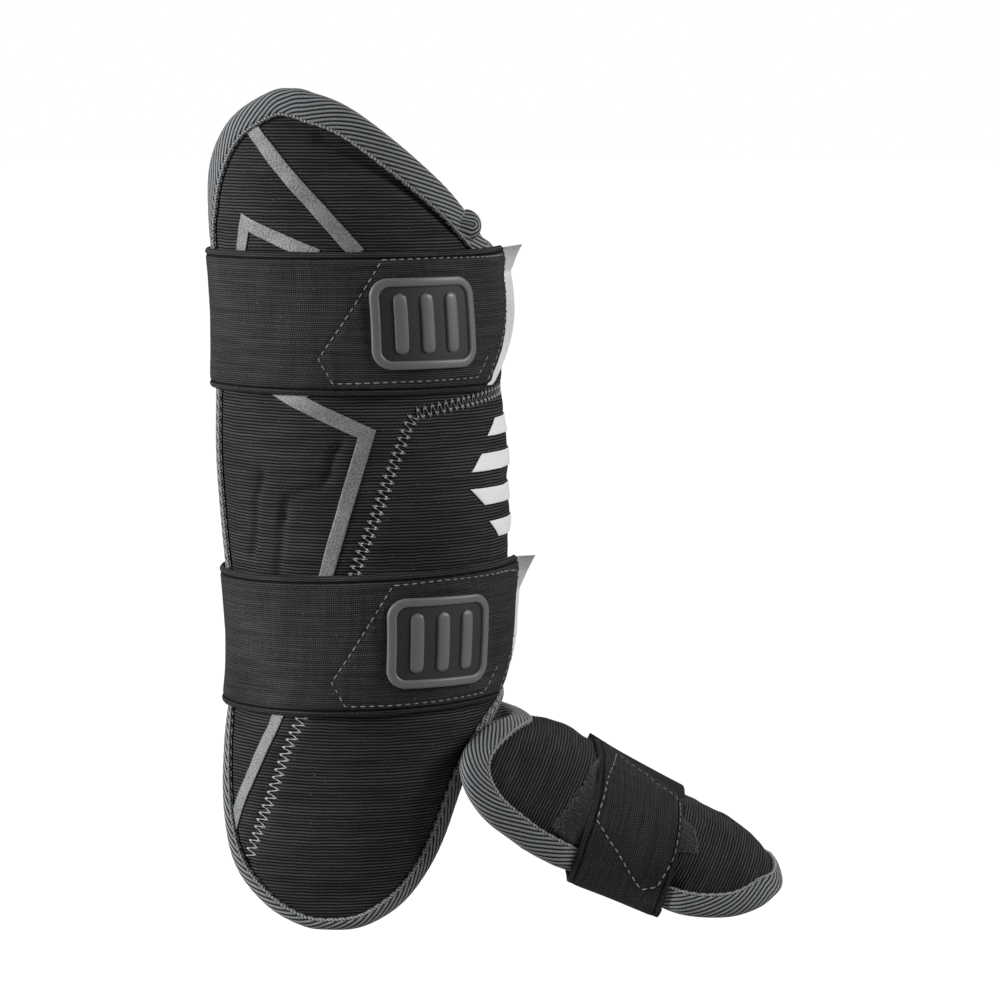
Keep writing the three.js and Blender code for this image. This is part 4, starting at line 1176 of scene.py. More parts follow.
@dataclass
class ShinShell:
    """The padded shin shell with its tape, printed stripes, front bars and zigzag seam."""

    stripe_width: float = 6.6
    film: float = 0.6
    bar_height: float = 8.0
    bar_pitch: float = 16.0
    bar_slant: float = 4.0
    bar_level: float = 0.534
    bar_reaches: tuple[int, ...] = (26, 38, 38, 26)
    zigzag_period: float = 3.7
    zigzag_width: float = 6.4
    thread: float = 0.25
    knob_spot: tuple[float, float] = (-30.6, 131.9)
    knob_size: tuple[float, float, float] = (7.5, 7.4, 5.5)
    pad_grid: tuple[int, int] = (200, 210)

    def __post_init__(self) -> None:
        """Lays out the edge, the tape and the seams."""
        low, high = ANKLE_EDGE.copy(), KNEE_EDGE.copy()
        low[:, 1], high[:, 1] = LEG.level(low[:, 1]), LEG.level(high[:, 1])
        self.tape = Tape(ShellEdge(LEG, low, high), wall=SHIN_WALL)
        self.seams = [
            Line(LEG, [(0.4, 54), (-29.8, 51.5), (-46.6, 49.6), (-59.6, 47.3), (-66.3, 45.6), (-70.3, 38.7),
                       (-73.4, 29.8), (-77.4, 18.9), (-81.2, 6.9), (-85.9, -7.1), (-90.7, -20.2), (-95, -34)]),
            Line(LEG, [(-112, -85), (-115.2, -95.6), (-118, -108.5), (-119.2, -119.8), (-120, -132.7),
                       (-122.6, -145), (-126, -157.5), (-126.7, -163.3)]),
        ]
        creases = [
            (Line(LEG, [(-122.2, -3.2), (-120, 6), (-113, 9.9), (-104.8, 12.3), (-101.5, 17.9), (-99.4, 27),
                        (-96.6, 32)]), 2.0, 2.1),
            (Line(LEG, [(-131.8, 16.4), (-135.7, 3.9), (-137.1, -10.5), (-141.6, -21.1)]), 1.7, 2.3),
            (Line(LEG, [(-122.2, -3.2), (-124, -14), (-127, -30)]), 1.6, 2.3),
            (Line(LEG, [(-95.4, 171.9), (-79.3, 161.8), (-61.9, 149.8), (-40.6, 131.4)]), 1.7, 2.8),
        ]
        grooves = [Groove(seam, 1.25, 3.4) for seam in self.seams]
        self.pad = Pad(self.tape, grooves + [Groove(*crease) for crease in creases])

    def stripes(self) -> dict[str, tuple[np.ndarray, np.ndarray]]:
        """Middle line and width in mm of each printed stripe."""
        tables = {
            "stripe_knee_bar": [(-124.4, 0.953, 1.1), (-85.5, 0.806, 1.1)],
            "stripe_knee_vee": [(-138.9, 0.806, 1), (-134.4, 0.842, 1), (-101.5, 0.804, 1)],
            "stripe_shin_bend": [(-96.0, 0.664, 1), (-117.2, 0.6385, 1.12), (-85.9, 0.595, 1), (-105.5, 0.42, 1)],
            "stripe_ankle_bar": [(-126.0, 0.262, 1), (-136.7, 0.134, 1), (-138.4, 0.116, 1)],
        }
        found = {}
        for name, rows in tables.items():
            table = np.array(rows)
            marks = np.stack([table[:, 0], LEG.level(table[:, 1])], -1)
            found[name] = (marks, table[:, 2] * self.stripe_width)
        return found

    def bar(self, reach: float, middle: float, lean: int) -> MeshData:
        """A white bar round the front of the shin, with slanted ends and softened edges."""
        across = np.concatenate([[-1, -0.995, -0.98, -0.95], np.linspace(-0.9, 0.9, 41), [0.95, 0.98, 0.995, 1]])
        side = np.array([-1, -0.97, -0.9, -0.75, -0.4, 0, 0.4, 0.75, 0.9, 0.97, 1.0])
        a = across[:, None] * (reach - side * lean * self.bar_slant)
        b = np.broadcast_to(middle + side * self.bar_height / 2, a.shape)
        edge = np.minimum((1 - np.abs(side)) * self.bar_height / 2, (1 - np.abs(across))[:, None] * reach * 1.2)
        body = soft_edge(edge, self.film / 2, 0.7)
        level = self.pad.height(a, b) + FILM_LIFT + self.film / 2
        return slab(LEG, a, b, level + body, level - body)

    def build(self) -> None:
        """Makes the shell's pieces."""
        cloth = self.pad.mesh(*self.pad_grid)
        pad = make_piece("shin_pad_cloth", [(cloth, "pad_ribbed_cloth")], ["shin_pad"])
        knob = self.tape.knob(self.knob_spot, *self.knob_size)
        make_piece("shin_binding_tape", [(self.tape.mesh(), "binding_twill"), (knob, "binding_twill"),
                                         (self.tape.seam(), "border_thread")], ["shin_binding"])
        zigzags = []
        # The first seam's threads take the darker copy of the seam thread, painted shade; its beads keep the seam
        # thread
        for seam, thread in zip(self.seams, ("seam_thread_painted_shade", "seam_thread")):
            run, beads = zigzag_run(seam, self.pad.height, self.zigzag_period, self.zigzag_width, self.thread)
            zigzags += [(run, thread), (beads, "seam_thread")]
        make_piece("shin_zigzag_seams", zigzags)
        for name, (marks, widths) in self.stripes().items():
            film = banded(LEG, marks, widths, self.pad.height, self.film)
            make_piece(name + "_film", [(film, "stripe_film")], [name])
        middle = float(LEG.level(self.bar_level))
        for k, reach in enumerate(self.bar_reaches):
            bar = self.bar(reach, middle + (1.5 - k) * self.bar_pitch, 1 if k < 2 else -1)
            make_piece(f"front_bar_film_{k + 1}", [(bar, "white_film")], [f"front_mark_{k + 1}"])


@dataclass
class ShinStrap:
    """A wide elastic strap round the calf, with its sewn end, hook patch, pull tab and grip badge."""

    name: str
    behind: float
    front: float
    end: list[tuple[float, float]]
    badge_turn: float
    curl: float
    tab: tuple[float, float, float]
    dashes: list[tuple[float, float]]
    start: float = -322.0
    width: float = 66.0
    thick: float = 1.7
    length: float = 395.0
    edge_press: float = 0.35
    free_press: float = 1.25
    seam_depth: float = 0.42
    patch_rise: float = 0.3
    pucker: float = 0.15
    pucker_pitch: float = 6.3
    tuck: float = 11.0
    tab_width: float = 62.6
    hook_start: float = -96.0
    hook_margin: float = 5.0
    hook_gap: float = 12.0
    badge_long: float = 50.0
    badge_wide: float = 42.0
    badge_border: float = 4.0
    badge_corner: float = 9.0
    plate_top: float = 1.1

    def __post_init__(self) -> None:
        """Lays out the sewn outline and the end edge's stitches."""
        self.outline = Line(LEG, self.dashes)
        across = np.linspace(0.07, 0.93, 30)
        turn = self.end_turn(across)
        b = self.middle(turn) + (across - 0.5) * self.width
        a, b = LEG.moved(turn, b, -3.6, 0.0)
        self.end_seam = Line(LEG, np.stack([a, b], -1))

    def end_turn(self, share: np.ndarray) -> np.ndarray:
        """Turn of the shaped free end at a share across the strap."""
        return np.interp(share, *np.array(self.end).T)

    def middle(self, turn: np.ndarray) -> np.ndarray:
        """Height of the strap's middle at a turn."""
        share = (1 + np.cos(np.radians(turn))) / 2
        return LEG.level(self.behind + (self.front - self.behind) * share)

    def inside(self, a: np.ndarray, b: np.ndarray) -> np.ndarray:
        """Whether stations lie within the sewn patch, by counting the edges to their left."""
        turns, levels = np.array(self.dashes).T
        found = np.zeros(np.shape(a), bool)
        for k in range(len(turns)):
            after = (k + 1) % len(turns)
            crosses = (levels[k] > b) != (levels[after] > b)
            rise = levels[after] - levels[k] or 1e-9
            found ^= crosses & (a < (turns[after] - turns[k]) * (b - levels[k]) / rise + turns[k])
        return found

    def top(self, a: np.ndarray, b: np.ndarray) -> np.ndarray:
        """Offset of the strap's face: edges pressed down, woven edges, sewn lines, patch and puckers."""
        across = b - self.middle(a)
        edge = self.width / 2 - np.abs(across)
        free = ease((np.abs(a - CALF_EDGE) - 7) / 12) * ease((56 - a) / 12) * ease((a + 300) / 12)
        on_pad = ease((a + 168) / 10)
        press = (self.edge_press + self.free_press * free * on_pad) * (1 - ease(edge / 7)) ** 2
        groove = 0.6 * np.exp(-((edge - 3.1) / 0.45) ** 2) - 0.4 * np.exp(-((edge - 1.5) / 0.9) ** 2)
        end = self.end_turn(across / self.width + 0.5)
        curl = self.curl * ease(1 - (end - a) / 15) ** 1.5 * ease((across / self.width + 0.1) / 0.5)
        points = LEG.point(a, b)
        sewn = np.minimum(self.outline.distance(points), self.end_seam.distance(points))
        seam = self.seam_depth * np.exp(-(sewn / 1.1) ** 2)
        patch = self.patch_rise * self.inside(a, b) * ease(sewn / 2)
        run = a * LEG_DEGREE
        wave = run * 2 * np.pi / self.pucker_pitch + 1.3 * ripple(run / 25, across / 30, 7)
        pucker = self.pucker * np.sin(wave)
        pucker = pucker * np.exp(-(sewn / 7) ** 2) + 0.2 * ripple(run / 5.5, across / 60, 9) * ease(edge / 7)
        slack = 0.35 * ripple(run / 55, across / 80, 11) * ease(edge / 14)
        return STRAP_TOP - press - groove - seam + patch + pucker + slack + curl

    def grid(self) -> tuple[np.ndarray, np.ndarray, np.ndarray, np.ndarray]:
        """Stations of the strap, with how far each is from its edge and how far along it is, in mm."""
        rows = spaced(self.width, 0.5, 1.5, 4.5)
        across = rows / self.width
        end = self.end_turn(across)
        run = spaced(self.length, 0.6, 1.5, 6.0)[:, None]
        a = self.start + (end - self.start) * run / self.length
        b = self.middle(a) + (across - 0.5) * self.width
        edge = np.minimum(np.minimum(rows, self.width - rows), np.minimum(run, self.length - run))
        return a, b, edge, run

    def strap_mesh(self) -> MeshData:
        """The strap as a closed sheet with rounded edges."""
        a, b, edge, run = self.grid()
        body = soft_edge(edge, self.thick / 2, 0.9)
        level = self.top(a, b) - self.thick / 2
        level = np.maximum(level, 0.95 + self.thick / 2)
        uv = np.stack(np.broadcast_arrays(run, b - self.middle(a)), -1)
        return slab(LEG, a, b, level + body, level - body, uv)

    def hook_mesh(self) -> MeshData:
        """The hook patch between the strap's end and the pad."""
        margin = self.hook_margin / self.width
        across = np.linspace(margin, 1 - margin, 24)
        end = self.end_turn(across)
        end = LEG.moved(end, self.middle(end), -self.hook_gap, 0.0)[0]
        share = np.linspace(0, 1, 60)[:, None]
        a = self.hook_start + (end - self.hook_start) * share
        b = self.middle(a) + (across - 0.5) * self.width
        edge = np.minimum(np.minimum(share, 1 - share) * 100, np.minimum(across, 1 - across) * self.width - 4)
        body = soft_edge(edge, UNDER_HALF, 0.6)
        return slab(LEG, a, b, UNDER_MIDDLE + body, UNDER_MIDDLE - body)

    def tab_mesh(self) -> MeshData:
        """The stiff pull tab tucked under the end, which curls away from the shin towards its upper corner."""
        low, high, lift = self.tab
        rows = spaced(self.tab_width, 0.7, 1.5, 2.5)
        across = 0.03 + rows / self.width
        out = np.concatenate([np.linspace(-1, 0, 8)[:-1], np.linspace(0, 0.85, 14), [0.9, 0.94, 0.97, 0.99, 1.0]])
        out = out[:, None]
        turn = self.end_turn(across)
        span = low + (high - low) * across
        corner = np.minimum(rows, self.tab_width - rows)
        span = span - 1.4 * (1 - ease(corner / 2.6)) ** 2
        b = self.middle(turn) + (across - 0.5) * self.width
        reach = out * np.where(out < 0, self.tuck, span)
        a = LEG.moved(turn, b, reach, 0.0)[0]
        rise = np.where(out > 0, lift * across * out ** 2, 0)
        edge = np.minimum(np.minimum(corner, (1 - out) * span), (out + 1) * 10)
        body = soft_edge(edge, 0.5, 0.7)
        level = UNDER_MIDDLE + rise
        return slab(LEG, a, np.broadcast_to(b, a.shape), level + body, level - body)

    def laid(self, x: np.ndarray, y: np.ndarray, off: np.ndarray) -> np.ndarray:
        """Points of the badge: x, y in mm from its middle, off above the strap's face."""
        turn = self.badge_turn
        a, b = LEG.moved(np.full(x.shape, turn), np.full(x.shape, float(self.middle(np.array(turn)))), x, y)
        return LEG.off(a, b, STRAP_TOP + 0.25 + off)

    def badge_outline(self, inset: float) -> np.ndarray:
        """A closed rounded rectangle, inset from the badge's edge, as x, y in mm."""
        radius = max(self.badge_corner - inset, 0.6)
        half = np.array([self.badge_long / 2 - inset - radius, self.badge_wide / 2 - inset - radius])
        angle = np.radians(np.arange(0, 360, 7.5) + 3.75)
        corner = np.stack([np.sign(np.cos(angle)), np.sign(np.sin(angle))], -1) * half
        return corner + radius * np.stack([np.cos(angle), np.sin(angle)], -1)

    def ring_sweep(self, profile: Sequence[tuple[float, float]]) -> MeshData:
        """A closed band round the badge, or a plate if the profile starts and ends at its middle."""
        outlines = [self.badge_outline(inset) for inset, _ in profile]
        xy = np.stack([np.concatenate([outline, outline[:1]]) for outline in outlines], 1)
        dense = []
        for k in range(len(xy) - 1):
            steps = max(1, int(np.linalg.norm(xy[k + 1, 0] - xy[k, 0]) / 2.5))
            dense.extend(xy[k] + (xy[k + 1] - xy[k]) * t / steps for t in range(steps))
        xy = np.array(dense)
        off = np.broadcast_to([level for _, level in profile], xy.shape[:2])
        return rings(self.laid(xy[..., 0], xy[..., 1], off), looped=True)

    def plate(self) -> MeshData:
        """The badge's thin base plate."""
        across = spaced(self.badge_long - 1.0, 0.8, 1.8, 2.0)
        inside = np.minimum(np.minimum(across, across[::-1]), self.badge_corner)
        cut = self.badge_corner - np.sqrt(self.badge_corner ** 2 - (self.badge_corner - inside) ** 2)
        side = np.linspace(-1, 1, 24)
        x = np.broadcast_to((across - across[-1] / 2)[:, None], (len(across), len(side)))
        y = side * ((self.badge_wide - 1.0) / 2 - cut)[:, None]
        top = self.laid(x, y, np.full(x.shape, self.plate_top))
        low = self.laid(x, y, np.full(x.shape, -0.5))
        return two_sided(top, low, np.stack([x, y], -1) * MM)

    def rib(self, x: float, width: float, height: float) -> MeshData:
        """An upright rounded rib of the badge."""
        t = np.linspace(-1, 1, 25)
        angle = np.radians(np.arange(0, 360, 30))
        fade = np.maximum(1 - np.abs(t) ** 12, 0.02) ** 0.5
        local_x = x + width / 2 * fade[:, None] * bulged(np.cos(angle), 0.5)
        local_y = np.broadcast_to((t * height / 2)[:, None], local_x.shape)
        off = self.plate_top + 1.25 * fade[:, None] * bulged(np.sin(angle), 0.5)
        return rings(self.laid(local_x, local_y, off))

    def piece(self, kind: str, parts: Sequence[tuple[MeshData, str]], slot: Slot, node: str) -> None:
        """Makes one piece of the strap, which stands for one of its CAD nodes."""
        make_piece(f"{self.name}_{kind}", parts, [f"{self.name}_{node}"])

    def build(self) -> None:
        """Makes the strap's pieces."""
        parts = [
            (self.strap_mesh(), "strap_elastic"),
            (stitch_run(self.outline, self.top, Stitch.DASH), "strap_thread"),
            (stitch_run(self.end_seam, self.top, Stitch.DASH), "strap_thread"),
        ]
        self.piece("strap_elastic", parts, Slot.STRAP, "strap")
        self.piece("hook_cloth", [(self.hook_mesh(), "hook_nap")], Slot.HOOK, "hook_patch")
        self.piece("tab_leather", [(self.tab_mesh(), "tab_leather")], Slot.TAB, "pull_tab")
        border = self.badge_border
        ring = self.ring_sweep([(0, -0.2), (0, 1.6), (0.35, 2.15), (1.0, 2.35), (border - 1, 2.35),
                                (border - 0.35, 2.15), (border, 1.6), (border, 0.5)])
        step = (self.badge_long - 2 * border) / 7
        ribs = [(self.rib(k * 2 * step, step, self.badge_wide - 2 * border - 6), "badge_rubber") for k in (-1, 0, 1)]
        parts = [(self.plate(), "badge_base"), (ring, "badge_rubber"), *ribs]
        self.piece("badge_moulding", parts, Slot.RUBBER, "grip_badge")


@dataclass
class FootGuard:
    """The padded foot guard with its tape, its strap round the foot, the loop patch and the pull tab."""

    strap_half: float = 23.5
    strap_thick: float = 1.7
    strap_length: float = 300.0
    edge_press: float = 0.3
    free_press: float = 1.1
    seam_depth: float = 0.45
    pucker_pitch: float = 6.0
    free: float = -22.0
    fixed: float = 262.0
    slant: float = 42.0
    slant_end: float = 62.0
    tab_tuck: float = 9.0
    tab_end: float = -28.0
    tab_lift: float = 3.7
    squeeze: float = 4.2
    tab_half: float = 25.5
    patch_turns: tuple[float, float] = (-3.0, 74.5)
    fibres: int = 900
    pad_grid: tuple[int, int] = (150, 110)

    def __post_init__(self) -> None:
        """Lays out the edge, the tape and the strap's seams."""
        edge = ShellEdge(FOOT, self.mirrored(FOOT_ANKLE_EDGE), self.mirrored(FOOT_TOE_EDGE))
        self.tape = Tape(edge, wall=FOOT_WALL, pressed=self.pressed)
        middle = np.linspace(-10, 85, 40)
        under = Line(FOOT, np.stack([middle, self.route(middle)], -1))
        self.pad = Pad(self.tape, [Groove(under, 0.8, 20.0)], crown=1.6, wrinkle=0.36, seed=21, stretch=(45.0, 22.0))
        self.outline = Line(FOOT, [(2.0, 69.8), (37.5, 67.5), (59.1, 70.2), (69.2, 86.9), (81.2, 102.1),
                                   (82.9, 105), (77.7, 110.8), (58.8, 111.2), (36.9, 107.1), (24.6, 105.2),
                                   (14.5, 90.3), (8, 80), (2.0, 70.6)])

    @staticmethod
    def mirrored(table: np.ndarray) -> np.ndarray:
        """A foot edge from the covered side over the crest to the far side, in degrees and mm."""
        half = table * [1, FOOT.length, 1]
        return np.concatenate([half[:0:-1] * [-1, 1, 1], half])

    @staticmethod
    def route(turn: np.ndarray) -> np.ndarray:
        """Middle of the strap along the foot at a turn, in mm."""
        return FOOT.length * smooth_column(FOOT_STRAP_ROUTE, 1, turn)

    def pressed(self, a: np.ndarray, b: np.ndarray) -> np.ndarray:
        """How far the tight strap presses the pad's near lower corner in, in mm."""
        across = self.strap_half + 9 - np.abs(b - self.route(a))
        return self.squeeze * ease((a - 58) / 26) * ease((125 - a) / 20) * ease(across / 10)

    def cut(self, across: np.ndarray) -> np.ndarray:
        """How far the slanted free end lies past its ankle side corner, in degrees, at a distance across."""
        return self.slant * (across / (2 * self.strap_half) + 0.5)

    def top(self, a: np.ndarray, b: np.ndarray) -> np.ndarray:
        """Offset of the strap's face: pressed edges, woven edges, sewn lines and slight puckers."""
        across = b - self.route(a)
        edge = self.strap_half - np.abs(across)
        free = ease((80 - np.abs(a)) / 10)
        press = (self.edge_press + self.free_press * free) * (1 - ease(edge / 6)) ** 2
        bead = 0.5 * np.exp(-((edge - 3.0) / 0.5) ** 2)
        sewn = self.outline.distance(FOOT.point(a, b))
        groove = self.seam_depth * np.exp(-(sewn / 0.9) ** 2)
        pucker = 0.16 * ripple(a / 9, across / 26, 31) + 0.3 * ripple(a / 30, across / 50, 33)
        wave = a * 2 * np.pi / self.pucker_pitch + 1.3 * ripple(a / 25, across / 30, 35)
        drawn = 0.1 * np.sin(wave) * np.exp(-(sewn / 6) ** 2)
        slack = ease(edge / 6) * ease((96 - a) / 20)
        level = STRAP_TOP - press - bead - groove + (pucker + drawn) * slack - self.pressed(a, b)
        floor = 3.2 + self.strap_thick / 2 - self.pressed(a, b)
        return np.where(np.abs(np.mod(a + 180, 360) - 180) > 78, np.maximum(level, floor), level)

    def strap_mesh(self) -> MeshData:
        """The strap as a closed sheet with rounded edges."""
        rows = spaced(2 * self.strap_half, 0.5, 1.5, 4.0)
        length = self.strap_length
        run = spaced(length, 0.6, 1.5, 5.0)[:, None]
        across = rows - self.strap_half
        a = self.free + (self.fixed - self.free) * run / length
        a = a + np.clip((self.slant_end - a) / (self.slant_end - self.free), 0, 1) * self.cut(across)
        b = self.route(a) + across
        edge = np.minimum(np.minimum(rows, rows[::-1]), np.minimum(0.75 * run, length - run))
        body = soft_edge(edge, self.strap_thick / 2, 0.9)
        level = self.top(a, b) - self.strap_thick / 2
        uv = np.stack(np.broadcast_arrays(a, across), -1)
        return slab(FOOT, a, b, level + body, level - body, uv)

    def patch_spot(self, turn: np.ndarray, share: np.ndarray) -> tuple[np.ndarray, np.ndarray, np.ndarray]:
        """Stations of the loop patch at a nominal turn and a share across it, and its width there in mm."""
        start, end = self.patch_turns
        a = turn + (end - turn) / (end - start) * self.slant * share
        low = np.interp(a, [-6, 20, 34.6, 43.4, 64.6, 71.8, 74.5], [66, 62, 58.4, 58.7, 54.7, 52.9, 62])
        high = np.interp(a, [-6, 10, 19.3, 42.3, 51.4, 58, 74.5], [100, 106, 109.4, 117.5, 121.5, 107, 103.5])
        return a, low + (high - low) * share, high - low

    def patch_level(self, a: np.ndarray, b: np.ndarray) -> np.ndarray:
        """Offset of the loop patch's middle layer."""
        return self.pad.height(a, b) + 0.6 + 0.15 * ripple(a / 3, b / 3, 41)

    def patch_mesh(self) -> MeshData:
        """The loop patch sewn on the pad under the strap, wider towards the covered side."""
        start, end = self.patch_turns
        share = np.linspace(0, 1, 50)
        turn = np.linspace(start, end, 90)[:, None]
        a, b, wide = self.patch_spot(turn, share)
        b = b + 0.5 * ripple(a / 1.7, b / 1.7, 43) * (1 - ease(share * wide / 2))
        edge = np.minimum(np.minimum(share, 1 - share) * wide, np.minimum(turn - start, end - turn) * 0.9)
        body = soft_edge(edge, 0.45, 0.9)
        level = self.patch_level(a, b)
        return slab(FOOT, a, b, level + body, level - body)

    def fuzz(self, count: int) -> MeshData:
        """Bent fibres that stand up from the loop patch's uncovered border."""
        rng = np.random.default_rng(47)
        turn = rng.uniform(self.patch_turns[0] + 6, self.patch_turns[1] - 2, (count, 1))
        across = rng.exponential(2.4, (count, 1)) - 0.7
        _, _, wide = self.patch_spot(turn, np.zeros_like(turn))
        share = np.where(rng.random((count, 1)) < 0.75, across / wide, 1 - across / wide)
        a, b, _ = self.patch_spot(turn, share)
        t = np.linspace(0, 1, 4)
        way = rng.uniform(0, 2 * np.pi, (count, 1)) + rng.uniform(-1.6, 1.6, (count, 1)) * t
        long = rng.uniform(0.5, 1.5, (count, 1))
        a, b = FOOT.moved(a + 0 * t, b + 0 * t, long * t * np.cos(way), long * t * np.sin(way))
        rise = 0.4 + rng.uniform(0.3, 0.9, (count, 1)) * np.sin(np.pi * (0.12 + 0.76 * t))
        centre = FOOT.off(a, b, self.patch_level(a, b) + rise)
        up = FOOT.steps(a, b)[2]
        side = unit(np.cross(np.gradient(centre, axis=1), up))
        return tubes(centre, side, up, np.array([0.05, 0.08, 0.08, 0.04]), 3)

    def tab_mesh(self) -> MeshData:
        """The black pull tab that widens from the strap's slanted free end towards its straight outer edge."""
        out = np.concatenate([np.linspace(-1, 0.8, 26), [0.87, 0.93, 0.97, 1.0]])[:, None]
        rows = spaced(2 * self.tab_half, 0.6, 1.8, 3.0)
        across = rows - self.tab_half
        end = self.free + self.cut(across)
        a = np.where(out < 0, end - out * self.tab_tuck, end + (self.tab_end - end) * out)
        b = np.broadcast_to(self.route(end) + across, a.shape)
        rise = np.where(out > 0, self.tab_lift * out ** 2, 0)
        edge = np.minimum(np.minimum(rows, rows[::-1]), (1 - out) * (end - self.tab_end))
        body = soft_edge(edge, 0.45, 0.7)
        level = UNDER_MIDDLE + rise
        return slab(FOOT, a, b, level + body, level - body)

    def build(self) -> None:
        """Makes the foot guard's pieces."""
        cloth = self.pad.mesh(*self.pad_grid)
        pad = make_piece("foot_pad_cloth", [(cloth, "foot_ribbed_cloth")], ["foot_pad"])
        make_piece("foot_binding_tape", [(self.tape.mesh(), "binding_twill"), (self.tape.seam(), "border_thread")],
                   ["foot_binding"])
        parts = [
            (self.strap_mesh(), "foot_strap_elastic"),
            (stitch_run(self.outline, self.top, Stitch.DASH), "strap_thread"),
        ]
        make_piece("foot_strap_elastic", parts, ["foot_strap"])
        parts = [(self.patch_mesh(), "loop_nap"), (self.fuzz(self.fibres), "loop_fibre")]
        make_piece("foot_loop_nap", parts, ["foot_loop_patch"])
        make_piece("foot_tab", [(self.tab_mesh(), "black_tab")], ["foot_pull_tab"])


@dataclass
class AnkleTether:
    """The webbing inside that joins the shin pad's lower front to the foot pad's crest."""

    width: float = 20.0
    thick: float = 2.0
    rise: float = 30.0
    clear: float = 0.5

    def route(self) -> np.ndarray:
        """Middle line of the webbing's near face: a centripetal curve through eight places, in mm."""
        dish = 0.3 * self.width ** 2 / (LEG.width - 2 * SHIN_WALL)
        low, under = FOOT.shin_low, TAPE_TOP + self.clear
        shin = [(low + share * self.rise, off) for share, off in
                ((1, self.clear), (0.63, self.clear), (0.43, under), (0, under))]
        foot = [(0.09, under), (0.17, under), (0.22, self.clear), (0.28, self.clear)]
        places = [LEG.point(0.0, z) - np.array([SHIN_WALL + dish + off, 0, 0]) for z, off in shin]
        places += [FOOT.off(0.0, share * FOOT.length, -FOOT_WALL - dish - off) for share, off in foot]
        places = np.array(places)
        places = np.concatenate([2 * places[:1] - places[1:2], places, 2 * places[-1:] - places[-2:-1]])
        knots = np.concatenate([[0], np.cumsum(np.linalg.norm(np.diff(places, axis=0), axis=-1) ** 0.5)])
        found = []
        for k in range(1, len(places) - 2):
            t = np.linspace(knots[k], knots[k + 1], 12)[:, None]
            p, q = places[k - 1:k + 3], knots[k - 1:k + 3]
            low_step = [((q[i + 1] - t) * p[i] + (t - q[i]) * p[i + 1]) / (q[i + 1] - q[i]) for i in range(3)]
            mid_step = [((q[i + 2] - t) * low_step[i] + (t - q[i]) * low_step[i + 1]) / (q[i + 2] - q[i])
                        for i in range(2)]
            found.append((((q[2] - t) * mid_step[0] + (t - q[1]) * mid_step[1]) / (q[2] - q[1]))[:-1])
        return np.concatenate(found + [places[-2:-1]])

    def build(self) -> None:
        """Makes the webbing as one flat swept band."""
        line = self.route()
        way = unit(np.gradient(line, axis=0))
        back = np.stack([way[:, 2], 0 * way[:, 0], -way[:, 0]], -1)
        angle = np.radians(np.arange(0, 360, 15) + 7.5)
        across = self.width / 2 * bulged(np.cos(angle), 0.25)
        deep = self.thick / 2 * (1 + bulged(np.sin(angle), 0.6))
        points = line[:, None] + back[:, None] * deep[:, None] + np.array([0, 1, 0]) * across[:, None]
        make_piece("ankle_tether_webbing", [(rings(points), "tether_webbing")], ["ankle_tether"])


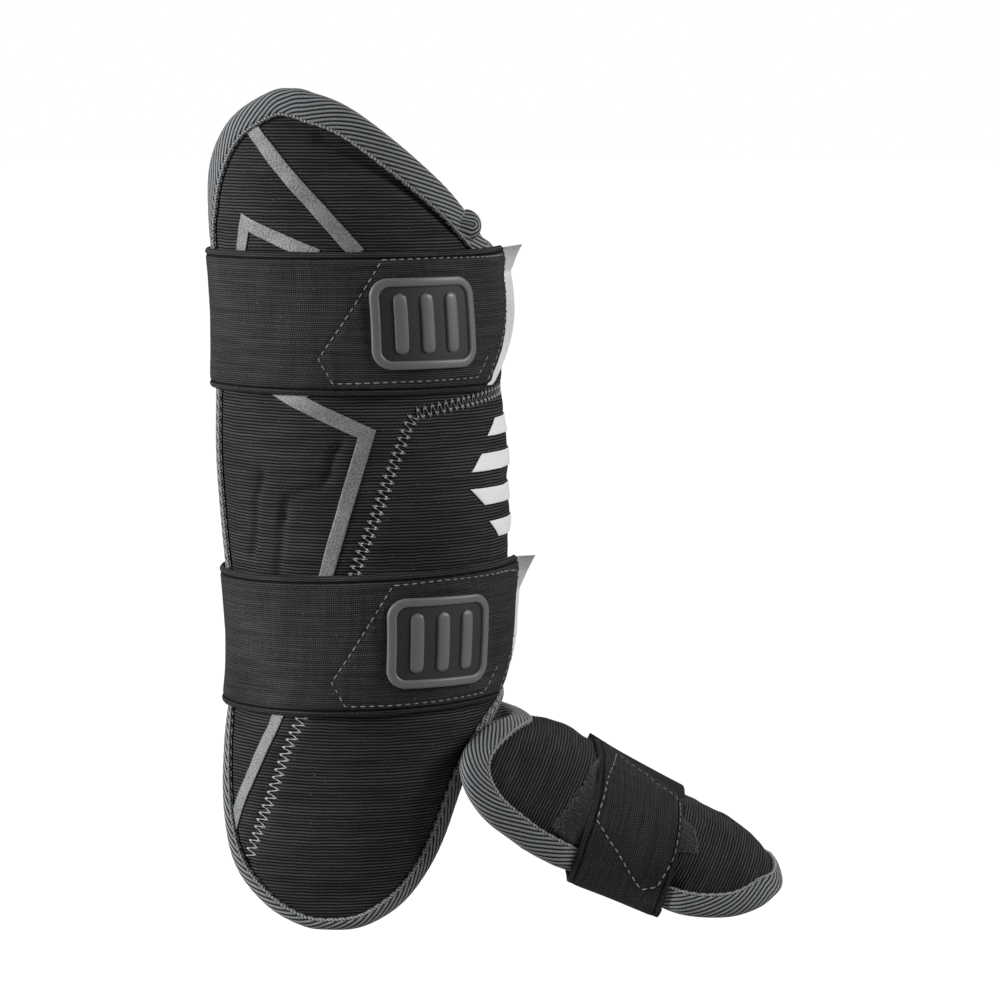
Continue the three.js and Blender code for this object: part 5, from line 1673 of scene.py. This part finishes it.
@dataclass
class Studio:
    """The pale floor, the soft lights, the white surround and the camera."""

    floor_level: float = -0.45
    floor_glow: float = 1.12
    floor_share: float = 0.93
    surround: float = 0.12
    lens: float = 135.83
    camera_place: tuple[float, float, float] = (0.0678, -1.790, 0.1974)
    camera_tilt: float = 83.7
    aim: tuple[float, float, float] = (0.03, 0, -0.02)

    def floor(self) -> None:
        """A wide pale floor, as bright as the surround where the camera sees it."""
        mesh = bpy.data.meshes.new("studio_floor")
        size = 30.0
        z = self.floor_level
        mesh.from_pydata([(-size, -size, z), (size, -size, z), (size, size, z), (-size, size, z)], [], [(0, 1, 2, 3)])
        floor = placed("studio_floor", mesh)
        made, graph, shader = new_material("studio_paper")
        shader.inputs["Base Color"].default_value = grey(0.45)
        shader.inputs["Roughness"].default_value = 0.9
        glow = graph.node("ShaderNodeEmission", {"Color": grey(1.0), "Strength": self.floor_glow})
        path = graph.node("ShaderNodeLightPath")
        share = graph.times(path.outputs["Is Camera Ray"], self.floor_share)
        mixed = graph.node("ShaderNodeMixShader", {0: share, 1: shader.outputs[0], 2: glow.outputs[0]})
        out = next(node for node in made.node_tree.nodes if node.type == "OUTPUT_MATERIAL")
        made.node_tree.links.new(mixed.outputs[0], out.inputs["Surface"])
        mesh.materials.append(made)

    def world(self) -> None:
        """A surround that is white to the camera and dimmer as light on the guard."""
        world = bpy.data.worlds.new("studio_surround")
        bpy.context.scene.world = world
        world.use_nodes = True
        world.node_tree.nodes.clear()
        graph = Graph(world.node_tree)
        seen = graph.node("ShaderNodeBackground", {"Color": grey(1.0), "Strength": 1.0})
        light = graph.node("ShaderNodeBackground", {"Color": grey(1.0), "Strength": self.surround})
        path = graph.node("ShaderNodeLightPath")
        inputs = {0: path.outputs["Is Camera Ray"], 1: light.outputs[0], 2: seen.outputs[0]}
        mixed = graph.node("ShaderNodeMixShader", inputs)
        graph.node("ShaderNodeOutputWorld", {"Surface": mixed.outputs[0]})
        bpy.context.scene.view_settings.view_transform = "Standard"

    def lamp(self, name: str, place: tuple[float, float, float], size: float, power: float) -> None:
        """A soft square lamp aimed at the guard's middle."""
        data = bpy.data.lights.new(name, "AREA")
        data.size = size
        data.energy = power
        lamp = placed(name, data)
        lamp.location = place
        aim = Vector(self.aim) - lamp.location
        lamp.rotation_euler = aim.to_track_quat("-Z", "Y").to_euler()

    def camera(self) -> None:
        """A camera in the place that the guard was photographed from."""
        data = bpy.data.cameras.new("camera")
        data.lens = self.lens
        data.sensor_width = 36.0
        camera = placed("camera", data)
        camera.location = self.camera_place
        camera.rotation_euler = (math.radians(self.camera_tilt), 0, 0)
        bpy.context.scene.camera = camera

    def build(self) -> None:
        """Sets up the studio."""
        self.floor()
        self.world()
        self.lamp("key_lamp", (-2.1, -0.6, 0.75), 0.9, 66.0)
        self.lamp("fill_lamp", (1.9, -0.45, 1.0), 1.0, 34.0)
        self.lamp("back_lamp", (0.2, 1.7, 0.9), 1.2, 8.0)
        self.camera()


def shin_straps() -> list[ShinStrap]:
    """The two straps of the shin shell."""
    upper = ShinStrap(
        name="upper", behind=0.7245, front=0.7245,
        end=[(0.0, -31), (0.2, -19.5), (0.4, -8), (0.6, 3.5), (0.78, 11.5), (0.89, 7), (1.0, 0)],
        badge_turn=-61, curl=3.0, tab=(8, 10, 16),
        dashes=[(0.3, 116.1), (-54.5, 117.4), (-76.7, 117.1), (-103.3, 71.7), (-97.9, 60.5), (-76.2, 61.1),
                (-36.8, 61.4), (-28.3, 71.2)],
    )
    lower = ShinStrap(
        name="lower", behind=0.3375, front=0.35,
        end=[(0.0, -21), (0.18, -12.5), (0.36, -3.5), (0.52, 5), (0.7, 9.5), (0.85, 4), (1.0, -5)],
        badge_turn=-59, curl=1.6, tab=(8, 10, 13),
        dashes=[(-5, -33), (-20.1, -31.2), (-58, -31.4), (-78.7, -32.9), (-102.4, -78.2), (-96.4, -89.3),
                (-73.3, -88.5), (-34.3, -86.5), (-25.2, -75.2)],
    )
    return [upper, lower]


def main() -> None:
    """Builds the guard and the studio."""
    logging.basicConfig(level=logging.INFO, format="%(name)s %(message)s")
    FINISHES.build()
    ShinShell().build()
    for strap in shin_straps():
        strap.build()
    FootGuard().build()
    AnkleTether().build()
    Studio().build()


if __name__ == "__main__":
    main()
